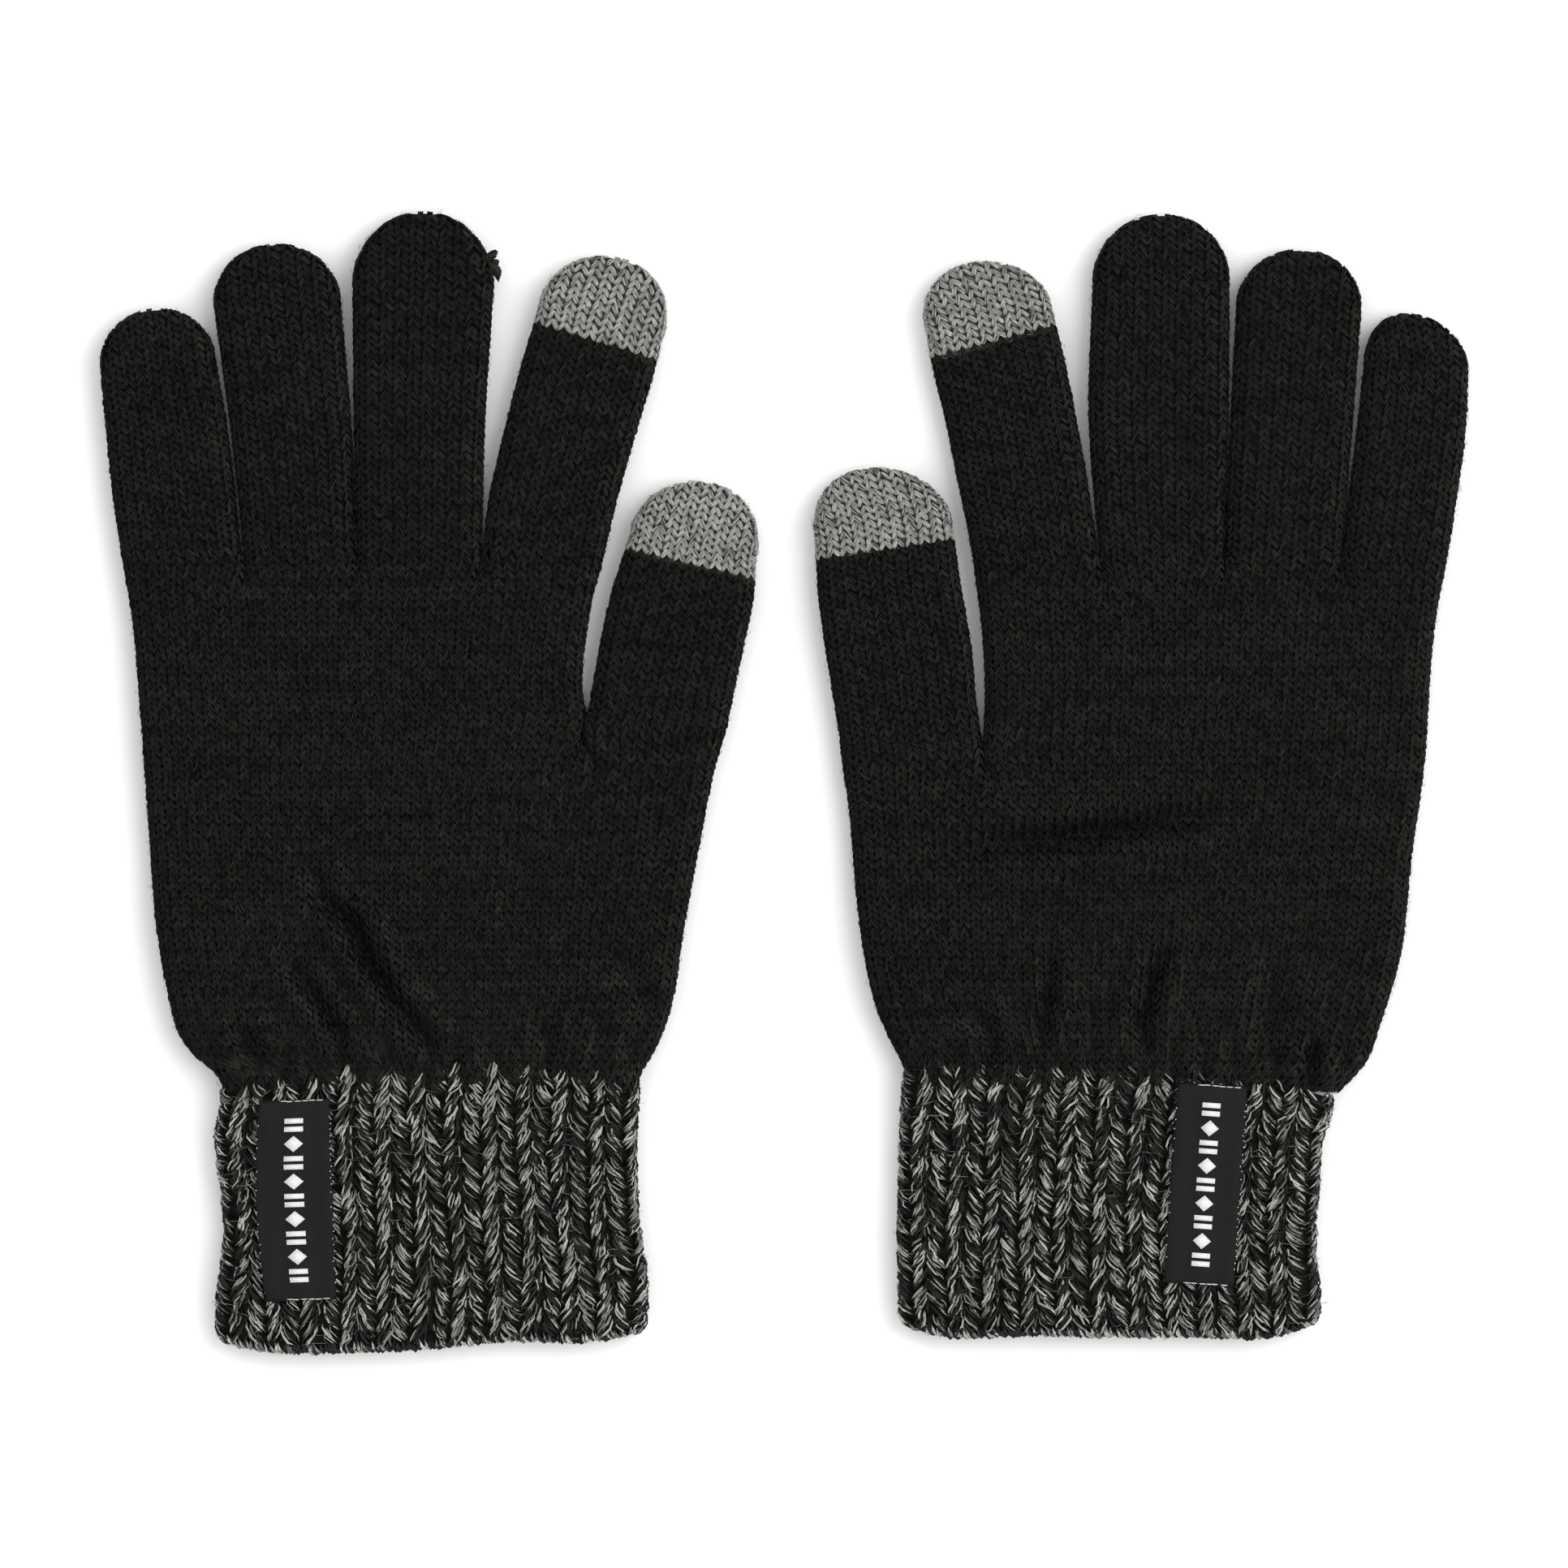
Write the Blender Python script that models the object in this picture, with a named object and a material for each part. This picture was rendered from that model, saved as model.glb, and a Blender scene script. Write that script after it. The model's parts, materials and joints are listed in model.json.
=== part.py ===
"""A pair of knitted touchscreen gloves, laid flat side by side with the thumbs towards the middle.

Each glove is knitted as a set of tubes: a rib cuff, a lower hand tube that still includes the thumb, an upper
hand tube for the four fingers, and one tube for each digit. The tips of the index finger and the thumb are
knitted from a conductive yarn. A woven label is sewn along the little finger side of the cuff. Every fabric
tube is a flattened, hollow, open-ended solid, so a hand can go in at the cuff and reach each fingertip.

Each digit is cut across at two places where it folds: at the knuckle line and half way along. The cuff is cut
from the hand along the wrist line. Metres, +Z up, gloves resting on z = 0, fingers pointing to +Y.
"""

import math

import bmesh
import bpy

MM = 0.001

# --- sizes shared by both gloves, in millimetres -----------------------------------------------------------
FABRIC = 1.8  # thickness of the knitted fabric
LOFT = 9.2  # height of the flattened hand and finger tubes
CUFF_LOFT = 8.8  # height of the flattened rib cuff
CUFF_EDGE = 0.5  # how much the cuff thins above and below at its free edge
GAP = 0.3  # clearance between neighbouring pieces
KNUCKLE_Y = 50.0  # line across the hand where the four fingers begin
WRIST_Y = -63.0  # line where the hand is knitted onto the rib cuff
DOME_STEPS = 4  # rings in the rounded end of a digit
ARC_STEPS = 4  # facets round each side of a flattened tube

LABEL_SIZE = (14.5, 43.5, 0.6)  # width, length and thickness of the woven label
STITCH_SIZE = (12.5, 0.8, 0.45)  # length, width and height of the thread bars that hold the label
TAIL_RADIUS = 0.55  # yarn end left at the left middle fingertip

# --- colours and finishes of the materials -----------------------------------------------------------------
FINISHES = {
    "black_knit": ((0.012, 0.011, 0.010), 0.92),
    "conductive_knit": ((0.22, 0.215, 0.20), 0.85),
    "marled_rib": ((0.050, 0.049, 0.046), 0.90),
    "woven_label": ((0.016, 0.015, 0.016), 0.55),
    "label_thread": ((0.62, 0.62, 0.60), 0.80),
}

# --- outlines of the two gloves, in millimetres ------------------------------------------------------------
# A digit is a list of (height, left edge, right edge) from its root to its shoulder, then its rounded tip
# (tip x, tip height). "fold" is the height of the fold half way along. "grey" gives the heights at which
# the left and right edges change to the conductive yarn.
LEFT = {
    "little": {
        "edges": [(50.0, -144.6, -118.9), (70.0, -146.9, -121.4), (91.0, -149.0, -124.6)],
        "tip": (-136.5, 104.0), "fold": 77.0,
    },
    "ring": {
        "edges": [(50.0, -118.4, -94.2), (75.0, -120.9, -95.2), (104.5, -124.4, -97.4)],
        "tip": (-111.0, 117.8), "fold": 83.0,
    },
    "middle": {
        "edges": [(50.0, -93.7, -66.6), (80.0, -93.9, -66.4), (111.5, -94.1, -64.2)],
        "tip": (-79.2, 125.0), "fold": 87.0,
    },
    "index": {
        "edges": [(50.0, -66.1, -39.6), (72.0, -62.9, -34.4), (102.0, -54.4, -26.7)],
        "tip": (-40.2, 115.4), "fold": 80.0, "grey": (100.2, 92.6),
    },
    "thumb": {
        "edges": [(16.5, -43.2, -12.4), (30.0, -41.1, -9.3), (53.0, -34.6, -6.8)],
        "tip": (-20.2, 66.2), "fold": 34.0, "grey": (50.1, 43.9),
    },
    "upper_hand": [(50.0, -144.6, -39.6), (32.0, -142.2, -41.9), (16.5, -140.7, -43.8)],
    "lower_hand": [(-8.0, -139.0, -18.0), (-38.0, -136.3, -23.0), (-55.0, -131.6, -27.6)],
    "hand_mouth": (-123.5, -31.5),
    "thumb_root": ((-43.6, 16.5), (-14.8, 2.5)),
    "cuff": [(-90.0, -123.9, -31.6), (-118.0, -124.5, -29.9)],
    "cuff_top": (-123.2, -31.2),
    "cuff_end": (-125.0, -122.5, -31.9),
    "label": (-106.2, -90.7, 2.4),
}
RIGHT = {
    "little": {
        "edges": [(50.0, 121.9, 144.4), (70.0, 123.6, 146.8), (90.0, 126.0, 149.0)],
        "tip": (135.8, 102.8), "fold": 77.0,
    },
    "ring": {
        "edges": [(50.0, 96.2, 121.4), (75.0, 97.1, 123.0), (103.5, 98.6, 125.2)],
        "tip": (112.3, 117.0), "fold": 83.0,
    },
    "middle": {
        "edges": [(50.0, 68.2, 95.7), (80.0, 66.8, 96.6), (111.0, 67.4, 96.7)],
        "tip": (82.2, 124.6), "fold": 87.0,
    },
    "index": {
        "edges": [(50.0, 39.6, 67.7), (72.0, 37.0, 64.6), (101.0, 31.4, 58.4)],
        "tip": (43.4, 114.4), "fold": 80.0, "grey": (92.4, 99.2),
    },
    "thumb": {
        "edges": [(16.5, 11.5, 42.5), (30.0, 9.1, 40.6), (55.0, 6.9, 35.4)],
        "tip": (20.2, 69.0), "fold": 36.0, "grey": (48.7, 53.0),
    },
    "upper_hand": [(50.0, 39.6, 144.4), (32.0, 41.9, 141.6), (16.5, 43.2, 140.4)],
    "lower_hand": [(-8.0, 14.4, 138.4), (-38.0, 17.6, 134.1), (-55.0, 22.6, 129.2)],
    "hand_mouth": (26.6, 119.4),
    "thumb_root": ((42.9, 16.5), (13.6, 2.5)),
    "cuff": [(-90.0, 25.0, 117.6), (-116.0, 24.6, 117.4)],
    "cuff_top": (25.8, 118.4),
    "cuff_end": (-121.8, 26.6, 115.6),
    "label": (91.7, -87.3, -4.0),
}


def material(name):
    """The Principled material of one fabric or thread, made once and shared by its pieces."""
    found = bpy.data.materials.get(name)
    if found:
        return found
    colour, roughness = FINISHES[name]
    made = bpy.data.materials.new(name)
    made.use_nodes = True
    shader = made.node_tree.nodes["Principled BSDF"]
    shader.inputs["Base Color"].default_value = (*colour, 1.0)
    shader.inputs["Roughness"].default_value = roughness
    shader.inputs["Metallic"].default_value = 0.0
    made.diffuse_color = (*colour, 1.0)
    return made


def add_object(name, corners, faces, finish, pivot):
    """One named piece whose origin is the point it turns about. Corners are in millimetres."""
    mesh = bpy.data.meshes.new(name)
    mesh.from_pydata([[(c - p) * MM for c, p in zip(corner, pivot)] for corner in corners], [], faces)
    shell = bmesh.new()
    shell.from_mesh(mesh)
    bmesh.ops.triangulate(shell, faces=[f for f in shell.faces if len(f.verts) > 4])
    bmesh.ops.recalc_face_normals(shell, faces=shell.faces)
    shell.to_mesh(mesh)
    shell.free()
    mesh.materials.append(material(finish))
    piece = bpy.data.objects.new(name, mesh)
    piece.location = [p * MM for p in pivot]
    bpy.context.scene.collection.objects.link(piece)
    return piece


def ring_of(section, inset=0.0):
    """The closed outline of a flattened tube: flat above and below, half round at both sides.

    A section is ((left x, left y), (right x, right y), bottom z, top z). The inset moves the outline
    inwards by the thickness of the fabric.
    """
    (xl, yl), (xr, yr), bottom, top = section
    across = math.hypot(xr - xl, yr - yl)
    ux, uy = (xr - xl) / across, (yr - yl) / across
    half = (top - bottom) / 2 - inset
    side = min(half, (across - 2 * inset) / 2 * 0.98)
    middle = (top + bottom) / 2
    points = []
    for start, turn, centre in ((270, -180, inset + side), (90, -180, across - inset - side)):
        for step in range(ARC_STEPS + 1):
            angle = math.radians(start + turn * step / ARC_STEPS)
            along = centre + side * math.cos(angle)
            points.append((xl + ux * along, yl + uy * along, middle + half * math.sin(angle)))
    return points


def skin(rings, closed_end):
    """Corners and faces of the surface through a row of outlines, with a lid on the last one if asked."""
    count = len(rings[0])
    corners = [p for ring in rings for p in ring]
    faces = []
    for row in range(len(rings) - 1):
        for i in range(count):
            j = (i + 1) % count
            faces.append((row * count + i, row * count + j, (row + 1) * count + j, (row + 1) * count + i))
    if closed_end:
        faces.append(tuple((len(rings) - 1) * count + i for i in range(count)))
    return corners, faces


def tube(name, outer, inner, closed_end, finish, pivot):
    """A hollow fabric tube: an outer skin, an inner skin, and a rim where they meet at each open end."""
    corners, faces = skin([ring_of(s) for s in outer], closed_end)
    inside, lining = skin([ring_of(s, FABRIC) for s in inner], closed_end)
    shift = len(corners)
    count = len(ring_of(outer[0]))
    faces += [tuple(i + shift for i in reversed(f)) for f in lining]
    ends = [(0, shift)]
    if not closed_end:
        ends.append((count * (len(outer) - 1), shift + count * (len(inner) - 1)))
    for first, second in ends:
        for i in range(count):
            j = (i + 1) % count
            faces.append((first + i, second + i, second + j, first + j))
    return add_object(name, corners + inside, faces, finish, pivot)


def flat_section(height, left, right, loft=LOFT, left_height=None):
    """A section straight across the glove, or slanting when the left edge is at another height."""
    return ((left, height if left_height is None else left_height), (right, height), 0.0, loft)


def edge_at(edges, height):
    """Left and right edge of a digit at a height between its root and its shoulder."""
    for (y0, l0, r0), (y1, l1, r1) in zip(edges, edges[1:]):
        if height <= y1 or (y1, l1, r1) == edges[-1]:
            t = (height - y0) / (y1 - y0)
            return l0 + t * (l1 - l0), r0 + t * (r1 - r0)
    return edges[0][1:]


def slanted(edges, left_height, right_height, lift=0.0):
    """A section of a digit whose left and right edges are at different heights."""
    left = edge_at(edges, left_height + lift)[0]
    right = edge_at(edges, right_height + lift)[1]
    return ((left, left_height + lift), (right, right_height + lift), 0.0, LOFT)


def rounded_tip(digit, inset=0.0):
    """Sections of the rounded end of a digit, from its shoulder to just short of its tip."""
    height, left, right = digit["edges"][-1]
    tip_x, tip_y = digit["tip"]
    half = (right - left) / 2
    centre = (left + right) / 2
    reach = tip_y - height - inset
    sections = []
    for step in range(DOME_STEPS):
        angle = math.radians(80.0 * step / (DOME_STEPS - 1))
        shrink = math.cos(angle) if step else 1.0
        drift = (tip_x - centre) * math.sin(angle)
        wide = (half - inset) * shrink + inset
        tall = (LOFT / 2 - inset) * math.sqrt(shrink) + inset
        y = height + reach * math.sin(angle)
        sections.append(((centre + drift - wide, y), (centre + drift + wide, y), LOFT / 2 - tall, LOFT / 2 + tall))
    return sections


def make_digit(side, digit_name, digit, root_section, root_pivot):
    """One digit: the segment from the knuckle to the fold, the segment beyond it, and any conductive tip."""
    edges, fold = digit["edges"], digit["fold"]
    below = slanted(edges, fold - GAP / 2, fold - GAP / 2)
    above = slanted(edges, fold + GAP / 2, fold + GAP / 2)
    halfway = slanted(edges, *[(root_section[i][1] + fold) / 2 for i in (0, 1)])
    base = [root_section, halfway, below]
    tube(f"{side}_{digit_name}_base", base, base, False, "black_knit", root_pivot)

    pivot = (sum(edge_at(edges, fold)) / 2, fold, LOFT)
    tip_outer, tip_inner = rounded_tip(digit), rounded_tip(digit, FABRIC)
    if "grey" not in digit:
        run = [above, slanted(edges, *[(fold + edges[-1][0]) / 2] * 2)]
        tube(f"{side}_{digit_name}_outer", run + tip_outer, run + tip_inner, True, "black_knit", pivot)
        return
    left_y, right_y = digit["grey"]
    lower = [above, slanted(edges, left_y, right_y, -GAP / 2)]
    tube(f"{side}_{digit_name}_outer", lower, lower, False, "black_knit", pivot)
    start = [slanted(edges, left_y, right_y, GAP / 2)]
    tube(f"{side}_{digit_name}_tip", start + tip_outer, start + tip_inner, True, "conductive_knit", pivot)


def lower_hand_rings(glove, inset):
    """Outlines of the lower hand, whose top edge runs level below the fingers and slants under the thumb."""
    rows = [flat_section(WRIST_Y + GAP / 2, *glove["hand_mouth"])]
    rows += [flat_section(*row) for row in reversed(glove["lower_hand"])]
    rings = [ring_of(row, inset) for row in rows]
    crotch, root_end = glove["thumb_root"]
    _, left, right = glove["upper_hand"][-1]
    thumb_right = root_end[0] > crotch[0]
    ends = (left, root_end[0]) if thumb_right else (root_end[0], right)
    level = crotch[1] - GAP
    slope = (root_end[1] - crotch[1]) / (root_end[0] - crotch[0])
    top = []
    for x, _, z in ring_of(flat_section(level, *ends), inset):
        beyond = (x - crotch[0]) if thumb_right else (crotch[0] - x)
        top.append((x, level + (slope * (x - crotch[0]) if beyond > 0 else 0.0), z))
    return rings, top, crotch, level


def make_lower_hand(side, glove):
    """The widest tube, from the wrist line up to the line where thumb and fingers part."""
    skins = []
    for inset in (0.0, FABRIC):
        rings, top, crotch, level = lower_hand_rings(glove, inset)
        half = len(top) // 2
        # one extra corner above and below at the foot of the thumb, so that the top edge bends there
        z_low, z_high = top[0][2], top[half][2]
        full = [ring[:half] + [between(ring[half - 1], ring[half], crotch[0])] + ring[half:]
                + [between(ring[-1], ring[0], crotch[0])] for ring in rings]
        full.append(top[:half] + [(crotch[0], level, z_high)] + top[half:] + [(crotch[0], level, z_low)])
        skins.append(full)
    count = len(skins[0][0])
    outer, faces = skin(skins[0], False)
    inner, lining = skin(skins[1], False)
    shift = len(outer)
    faces += [tuple(i + shift for i in reversed(f)) for f in lining]
    for first in (0, count * (len(skins[0]) - 1)):
        for i in range(count):
            j = (i + 1) % count
            faces.append((first + i, shift + first + i, shift + first + j, first + j))
    pivot = (sum(glove["hand_mouth"]) / 2, 0.0, 0.0)
    return add_object(f"{side}_lower_hand", outer + inner, faces, "black_knit", pivot)


def between(a, b, x):
    """The point of the line from a to b that is at x."""
    t = (x - a[0]) / (b[0] - a[0])
    return tuple(p + t * (q - p) for p, q in zip(a, b))


def make_upper_hand(side, glove):
    """The tube that holds the four fingers together, from the thumb crotch to the knuckle line."""
    rows = [flat_section(*row) for row in reversed(glove["upper_hand"])]
    pivot = (sum(glove["hand_mouth"]) / 2, 0.0, 0.0)
    return tube(f"{side}_upper_hand", rows, rows, False, "black_knit", pivot)


def make_cuff(side, glove, pivot):
    """The double-faced rib tube round the wrist, with softly rounded corners at its free edge."""
    last_y, last_left, last_right = glove["cuff_end"]
    rows = [flat_section(WRIST_Y - GAP / 2, *glove["cuff_top"], loft=CUFF_LOFT)]
    rows += [flat_section(*row, loft=CUFF_LOFT) for row in glove["cuff"]]
    left, right = (last_left, last_y), (last_right, last_y)
    outer = rows + [(left, right, CUFF_EDGE, CUFF_LOFT - CUFF_EDGE)]
    inner = rows + [(left, right, 0.0, CUFF_LOFT)]
    return tube(f"{side}_cuff", outer, inner, False, "marled_rib", pivot)


def box(name, centre, size, tilt, finish, pivot):
    """A flat block turned about the vertical by a tilt in degrees."""
    c, s = math.cos(math.radians(tilt)), math.sin(math.radians(tilt))
    corners = []
    for dz in (-0.5, 0.5):
        for dx, dy in ((-0.5, -0.5), (0.5, -0.5), (0.5, 0.5), (-0.5, 0.5)):
            x, y = dx * size[0], dy * size[1]
            corners.append((centre[0] + x * c - y * s, centre[1] + x * s + y * c, centre[2] + dz * size[2]))
    faces = [(3, 2, 1, 0), (4, 5, 6, 7)] + [(i, (i + 1) % 4, (i + 1) % 4 + 4, i + 4) for i in range(4)]
    return add_object(name, corners, faces, finish, pivot)


def make_label(side, glove, pivot):
    """The woven label lying on the cuff, and the bar of thread over each of its ends."""
    x, y, tilt = glove["label"]
    z = CUFF_LOFT + GAP + LABEL_SIZE[2] / 2
    box(f"{side}_label", (x, y, z), LABEL_SIZE, tilt, "woven_label", pivot)
    z = CUFF_LOFT + 2 * GAP + LABEL_SIZE[2] + STITCH_SIZE[2] / 2
    reach = LABEL_SIZE[1] / 2 - 1.2
    for end, sign in (("top", 1), ("bottom", -1)):
        dx = -sign * reach * math.sin(math.radians(tilt))
        dy = sign * reach * math.cos(math.radians(tilt))
        box(f"{side}_label_stitch_{end}", (x + dx, y + dy, z), STITCH_SIZE, tilt, "label_thread", pivot)


def make_yarn_end(name, start, pivot):
    """The short end of yarn that sticks out beside the left middle fingertip."""
    path = [(0.0, 0.0, 0.0), (0.3, 1.6, 0.4), (-0.1, 3.4, 0.8)]
    rings = []
    for dx, dy, dz in path:
        ring = []
        for i in range(6):
            angle = math.radians(60 * i)
            ring.append((start[0] + dx + TAIL_RADIUS * math.cos(angle), start[1] + dy,
                         start[2] + dz + TAIL_RADIUS * math.sin(angle)))
        rings.append(ring)
    corners, faces = skin(rings, True)
    faces.append(tuple(reversed(range(6))))
    return add_object(name, corners, faces, "black_knit", pivot)


def thumb_root_section(glove):
    """The slanting section where the thumb tube begins, just clear of the lower hand."""
    (cx, cy), (ex, ey) = glove["thumb_root"]
    if ex > cx:
        return ((cx + GAP, cy), (ex, ey + GAP), 0.0, LOFT)
    return ((ex, ey + GAP), (cx - GAP, cy), 0.0, LOFT)


def make_glove(side, glove):
    """Every piece of one glove."""
    wrist = (sum(glove["cuff_top"]) / 2, WRIST_Y, LOFT)
    make_cuff(side, glove, wrist)
    make_label(side, glove, wrist)
    make_lower_hand(side, glove)
    make_upper_hand(side, glove)
    for digit_name in ("little", "ring", "middle", "index"):
        digit = glove[digit_name]
        left, right = digit["edges"][0][1:]
        root = flat_section(KNUCKLE_Y + GAP, left, right)
        make_digit(side, digit_name, digit, root, ((left + right) / 2, KNUCKLE_Y + GAP / 2, LOFT))
    root = thumb_root_section(glove)
    pivot = tuple((a + b) / 2 for a, b in zip(*glove["thumb_root"])) + (LOFT,)
    make_digit(side, "thumb", glove["thumb"], root, pivot)


def clear_scene():
    """Starts from an empty scene."""
    for existing in list(bpy.data.objects):
        bpy.data.objects.remove(existing, do_unlink=True)


clear_scene()
make_glove("left", LEFT)
make_glove("right", RIGHT)
left_fold = (sum(edge_at(LEFT["middle"]["edges"], LEFT["middle"]["fold"])) / 2, LEFT["middle"]["fold"], LOFT)
make_yarn_end("left_yarn_end", (-62.85, 111.4, LOFT / 2), left_fold)
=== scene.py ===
# %% [markdown]
# # A pair of knitted touchscreen gloves
# The gloves lie flat with their backs up. Everything that shows is yarn, so everything here is made stitch
# by stitch: a plain-knit hand, grey conductive fingertips, a marled rib cuff and a small woven label.
# The rigid frame below gives the places and the hinges. It is loaded first and never moved.

# %% The frame
import json
import math

import bpy
import numpy as np
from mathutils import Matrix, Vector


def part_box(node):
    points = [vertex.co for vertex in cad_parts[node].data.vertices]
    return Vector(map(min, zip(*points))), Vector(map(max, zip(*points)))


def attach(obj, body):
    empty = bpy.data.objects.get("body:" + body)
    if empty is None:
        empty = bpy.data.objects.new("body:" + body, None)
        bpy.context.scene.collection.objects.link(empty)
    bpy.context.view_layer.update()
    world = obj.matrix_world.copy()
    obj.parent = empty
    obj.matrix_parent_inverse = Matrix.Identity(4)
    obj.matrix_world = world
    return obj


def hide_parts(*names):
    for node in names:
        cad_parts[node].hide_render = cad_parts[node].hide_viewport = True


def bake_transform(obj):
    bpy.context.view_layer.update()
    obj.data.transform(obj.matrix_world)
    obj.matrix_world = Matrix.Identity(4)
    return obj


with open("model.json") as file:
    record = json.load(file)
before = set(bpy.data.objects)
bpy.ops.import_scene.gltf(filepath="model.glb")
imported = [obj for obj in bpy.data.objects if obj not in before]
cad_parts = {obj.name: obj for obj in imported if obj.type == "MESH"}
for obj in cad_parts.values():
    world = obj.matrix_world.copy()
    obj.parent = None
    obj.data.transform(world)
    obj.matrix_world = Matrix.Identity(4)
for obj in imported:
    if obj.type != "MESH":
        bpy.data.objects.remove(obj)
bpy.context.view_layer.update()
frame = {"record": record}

MM = 0.001
joints = {joint["name"]: joint for joint in frame["record"]["behaviour"]["joints"]}
cuff_box = {side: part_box(f"{side}_cuff") for side in ("left", "right")}

# %% [markdown]
# ## Sizes of the knitting
# A knitted fabric is counted in wales, the columns of stitches, and courses, the rows. These gloves have
# about four wales and six courses to the centimetre in the hand, and a rib of thicker, doubled yarn at the
# cuff. All sizes are in millimetres, and become metres only when a mesh is written.

# %% Driving sizes
LOFT = 8.3  # height of the flattened hand, between the middles of its two layers
MIDDLE = 4.55  # height of the plane between the two layers
COURSE = 1.62  # height of one row of stitches
YARN_INSET = 0.45  # how far the yarn's middle lies inside the outline of the glove
TIP_INSET = 0.85  # the same at the end of a digit, where the turned rows are thicker
WALE = 2.54  # usual width of one column of stitches
RIB_PITCH = 7.7  # from one rib of the cuff to the next
KNUCKLE_Y = 50.0
WRIST_Y = -63.0
KNIT_START = -67.0  # the hand's fabric starts here, a little inside the cuff
GATHER_TOP = -38.0  # the part below this bends with the wrist
THUMB_START = -8.0  # the thumb's own piece starts here
PALM_TOP = 14.0
KNUCKLE_START = 42.0  # the digits' own pieces start here, below the crotches
THUMB_SPLIT = 25.5  # where the thumb's root piece meets its end piece
PAST_THE_END = 999.0  # a row beyond the end of every digit
TURN_DOWN = 1.8  # radius with which the fabric turns down over a fingertip
RANDOM = np.random.default_rng(20)
print("course", COURSE, "loft", LOFT)

# %% [markdown]
# ## Outlines
# Each digit is given by a few heights with its left and right edge, the place of its tip, and how much its
# rows of stitches lean. Between the given heights the edges run on one smooth curve. The wales of each digit
# run on down the hand as a strip of their own, all the way to the cuff, as they do when a glove is knitted.
# The hand's own sides are the low edge and the high edge, and the thumb side is where the hand ends above
# the thumb crotch.

# %% Outlines of both gloves
LEFT = {
    "order": ("little", "ring", "middle", "index", "thumb"),
    "little": {"edges": [(50, -145.0, -118.7), (62, -146.8, -120.0), (78, -148.5, -121.9),
                         (92, -149.7, -124.3)],
               "tip": (-136.8, 104.3), "lean": -6.0, "wales": 11},
    "ring": {"edges": [(50, -118.3, -93.9), (75, -120.9, -94.6), (105, -125.0, -97.0)],
             "tip": (-111.2, 118.4), "lean": -4.0, "wales": 10},
    "middle": {"edges": [(50, -93.6, -66.3), (80, -94.3, -65.5), (109, -94.6, -63.6)],
               "tip": (-79.2, 125.4), "lean": 1.0, "wales": 11},
    "index": {"edges": [(50, -66.1, -39.6), (61.4, -65.0, -36.9), (75.6, -61.8, -32.9), (89.8, -58.2, -28.7),
                        (101, -54.9, -25.9)],
              "tip": (-40.0, 115.8), "lean": 16.5, "wales": 11, "grey": 96.6},
    "thumb": {"edges": [(14.5, -43.3, -12.4), (29.5, -40.7, -9.2), (40.1, -38.5, -7.0), (52.5, -34.6, -6.3)],
              "tip": (-19.6, 66.6), "lean": 13.0, "wales": 12, "grey": 47.4},
    "low_edge": [(-66.5, -122.8), (-62.9, -124.6), (-59.3, -129.0), (-55.8, -131.7), (-45.1, -135.0),
                 (-30.9, -137.4), (-9.6, -139.1), (15.3, -140.9), (36.6, -142.8), (50, -145.0)],
    "high_edge": [(-66.5, -32.2), (-62.9, -31.4), (-59.3, -29.2), (-52.2, -26.0), (-45.1, -24.1),
                  (-34.4, -22.6), (-13.1, -18.7), (8.2, -14.5), (16.5, -12.0)],
    "thumb_side": [(14.5, -43.7), (21, -44.8), (26, -44.6), (35, -43.5), (40, -42.7), (45, -41.4),
                   (50, -40.05)],
}
RIGHT = {
    "order": ("thumb", "index", "middle", "ring", "little"),
    "little": {"edges": [(50, 121.7, 144.7), (62, 122.9, 146.6), (78, 124.8, 148.6),
                         (91, 126.3, 149.2)],
               "tip": (135.6, 103.2), "lean": 4.0, "wales": 10},
    "ring": {"edges": [(50, 96.0, 121.5), (75, 97.0, 123.6), (104, 98.4, 125.8)],
             "tip": (112.3, 117.3), "lean": 3.0, "wales": 10},
    "middle": {"edges": [(50, 68.5, 95.8), (80, 66.2, 96.8), (110, 67.1, 97.0)],
               "tip": (82.3, 124.9), "lean": -1.0, "wales": 11},
    "index": {"edges": [(50, 40.8, 68.3), (57, 39.5, 67.4), (65, 37.8, 66.2), (79, 35.0, 63.7),
                        (93.4, 31.6, 60.8), (101.5, 30.5, 58.8)],
              "tip": (43.6, 114.6), "lean": -14.5, "wales": 11, "grey": 95.6},
    "thumb": {"edges": [(8.5, 12.0, 43.0), (18, 10.6, 41.8), (30, 8.6, 40.6), (42, 7.1, 38.6),
                        (55.5, 6.4, 36.6)],
              "tip": (19.8, 69.6), "lean": -8.5, "wales": 12, "grey": 51.0},
    "low_edge": [(-66.5, 25.6), (-62.9, 26.0), (-55.8, 22.8), (-48.7, 19.8), (-38, 17.3), (-23.8, 15.4),
                 (-6, 13.9), (4.6, 12.5), (16.5, 10.9)],
    "high_edge": [(-70.5, 118.8), (-66.4, 121.5), (-62.9, 125.0), (-59.3, 127.6), (-55.8, 128.8),
                  (-48.7, 131.2), (-38, 134.2), (-16.7, 136.7), (4.6, 139.6), (25.9, 141.0), (36.6, 142.1),
                  (50, 144.7)],
    "thumb_side": [(8.5, 43.5), (18, 44.0), (29, 43.7), (35, 43.2), (40, 42.6), (45, 41.9), (50, 41.25)],
}
GLOVES = {"left": LEFT, "right": RIGHT}
for side, glove in GLOVES.items():
    print(side, "wales across", sum(glove[name]["wales"] for name in glove["order"]))


# %% Small helpers for curves and vectors
def unit(vectors):
    """The same directions, each of length one."""
    return vectors / np.maximum(np.linalg.norm(vectors, axis=-1, keepdims=True), 1e-9)


def smooth(x, start, end):
    """0 before start, 1 after end, and an easy rise between."""
    t = np.clip((np.asarray(x, float) - start) / (end - start), 0, 1)
    return t * t * (3 - 2 * t)


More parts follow.
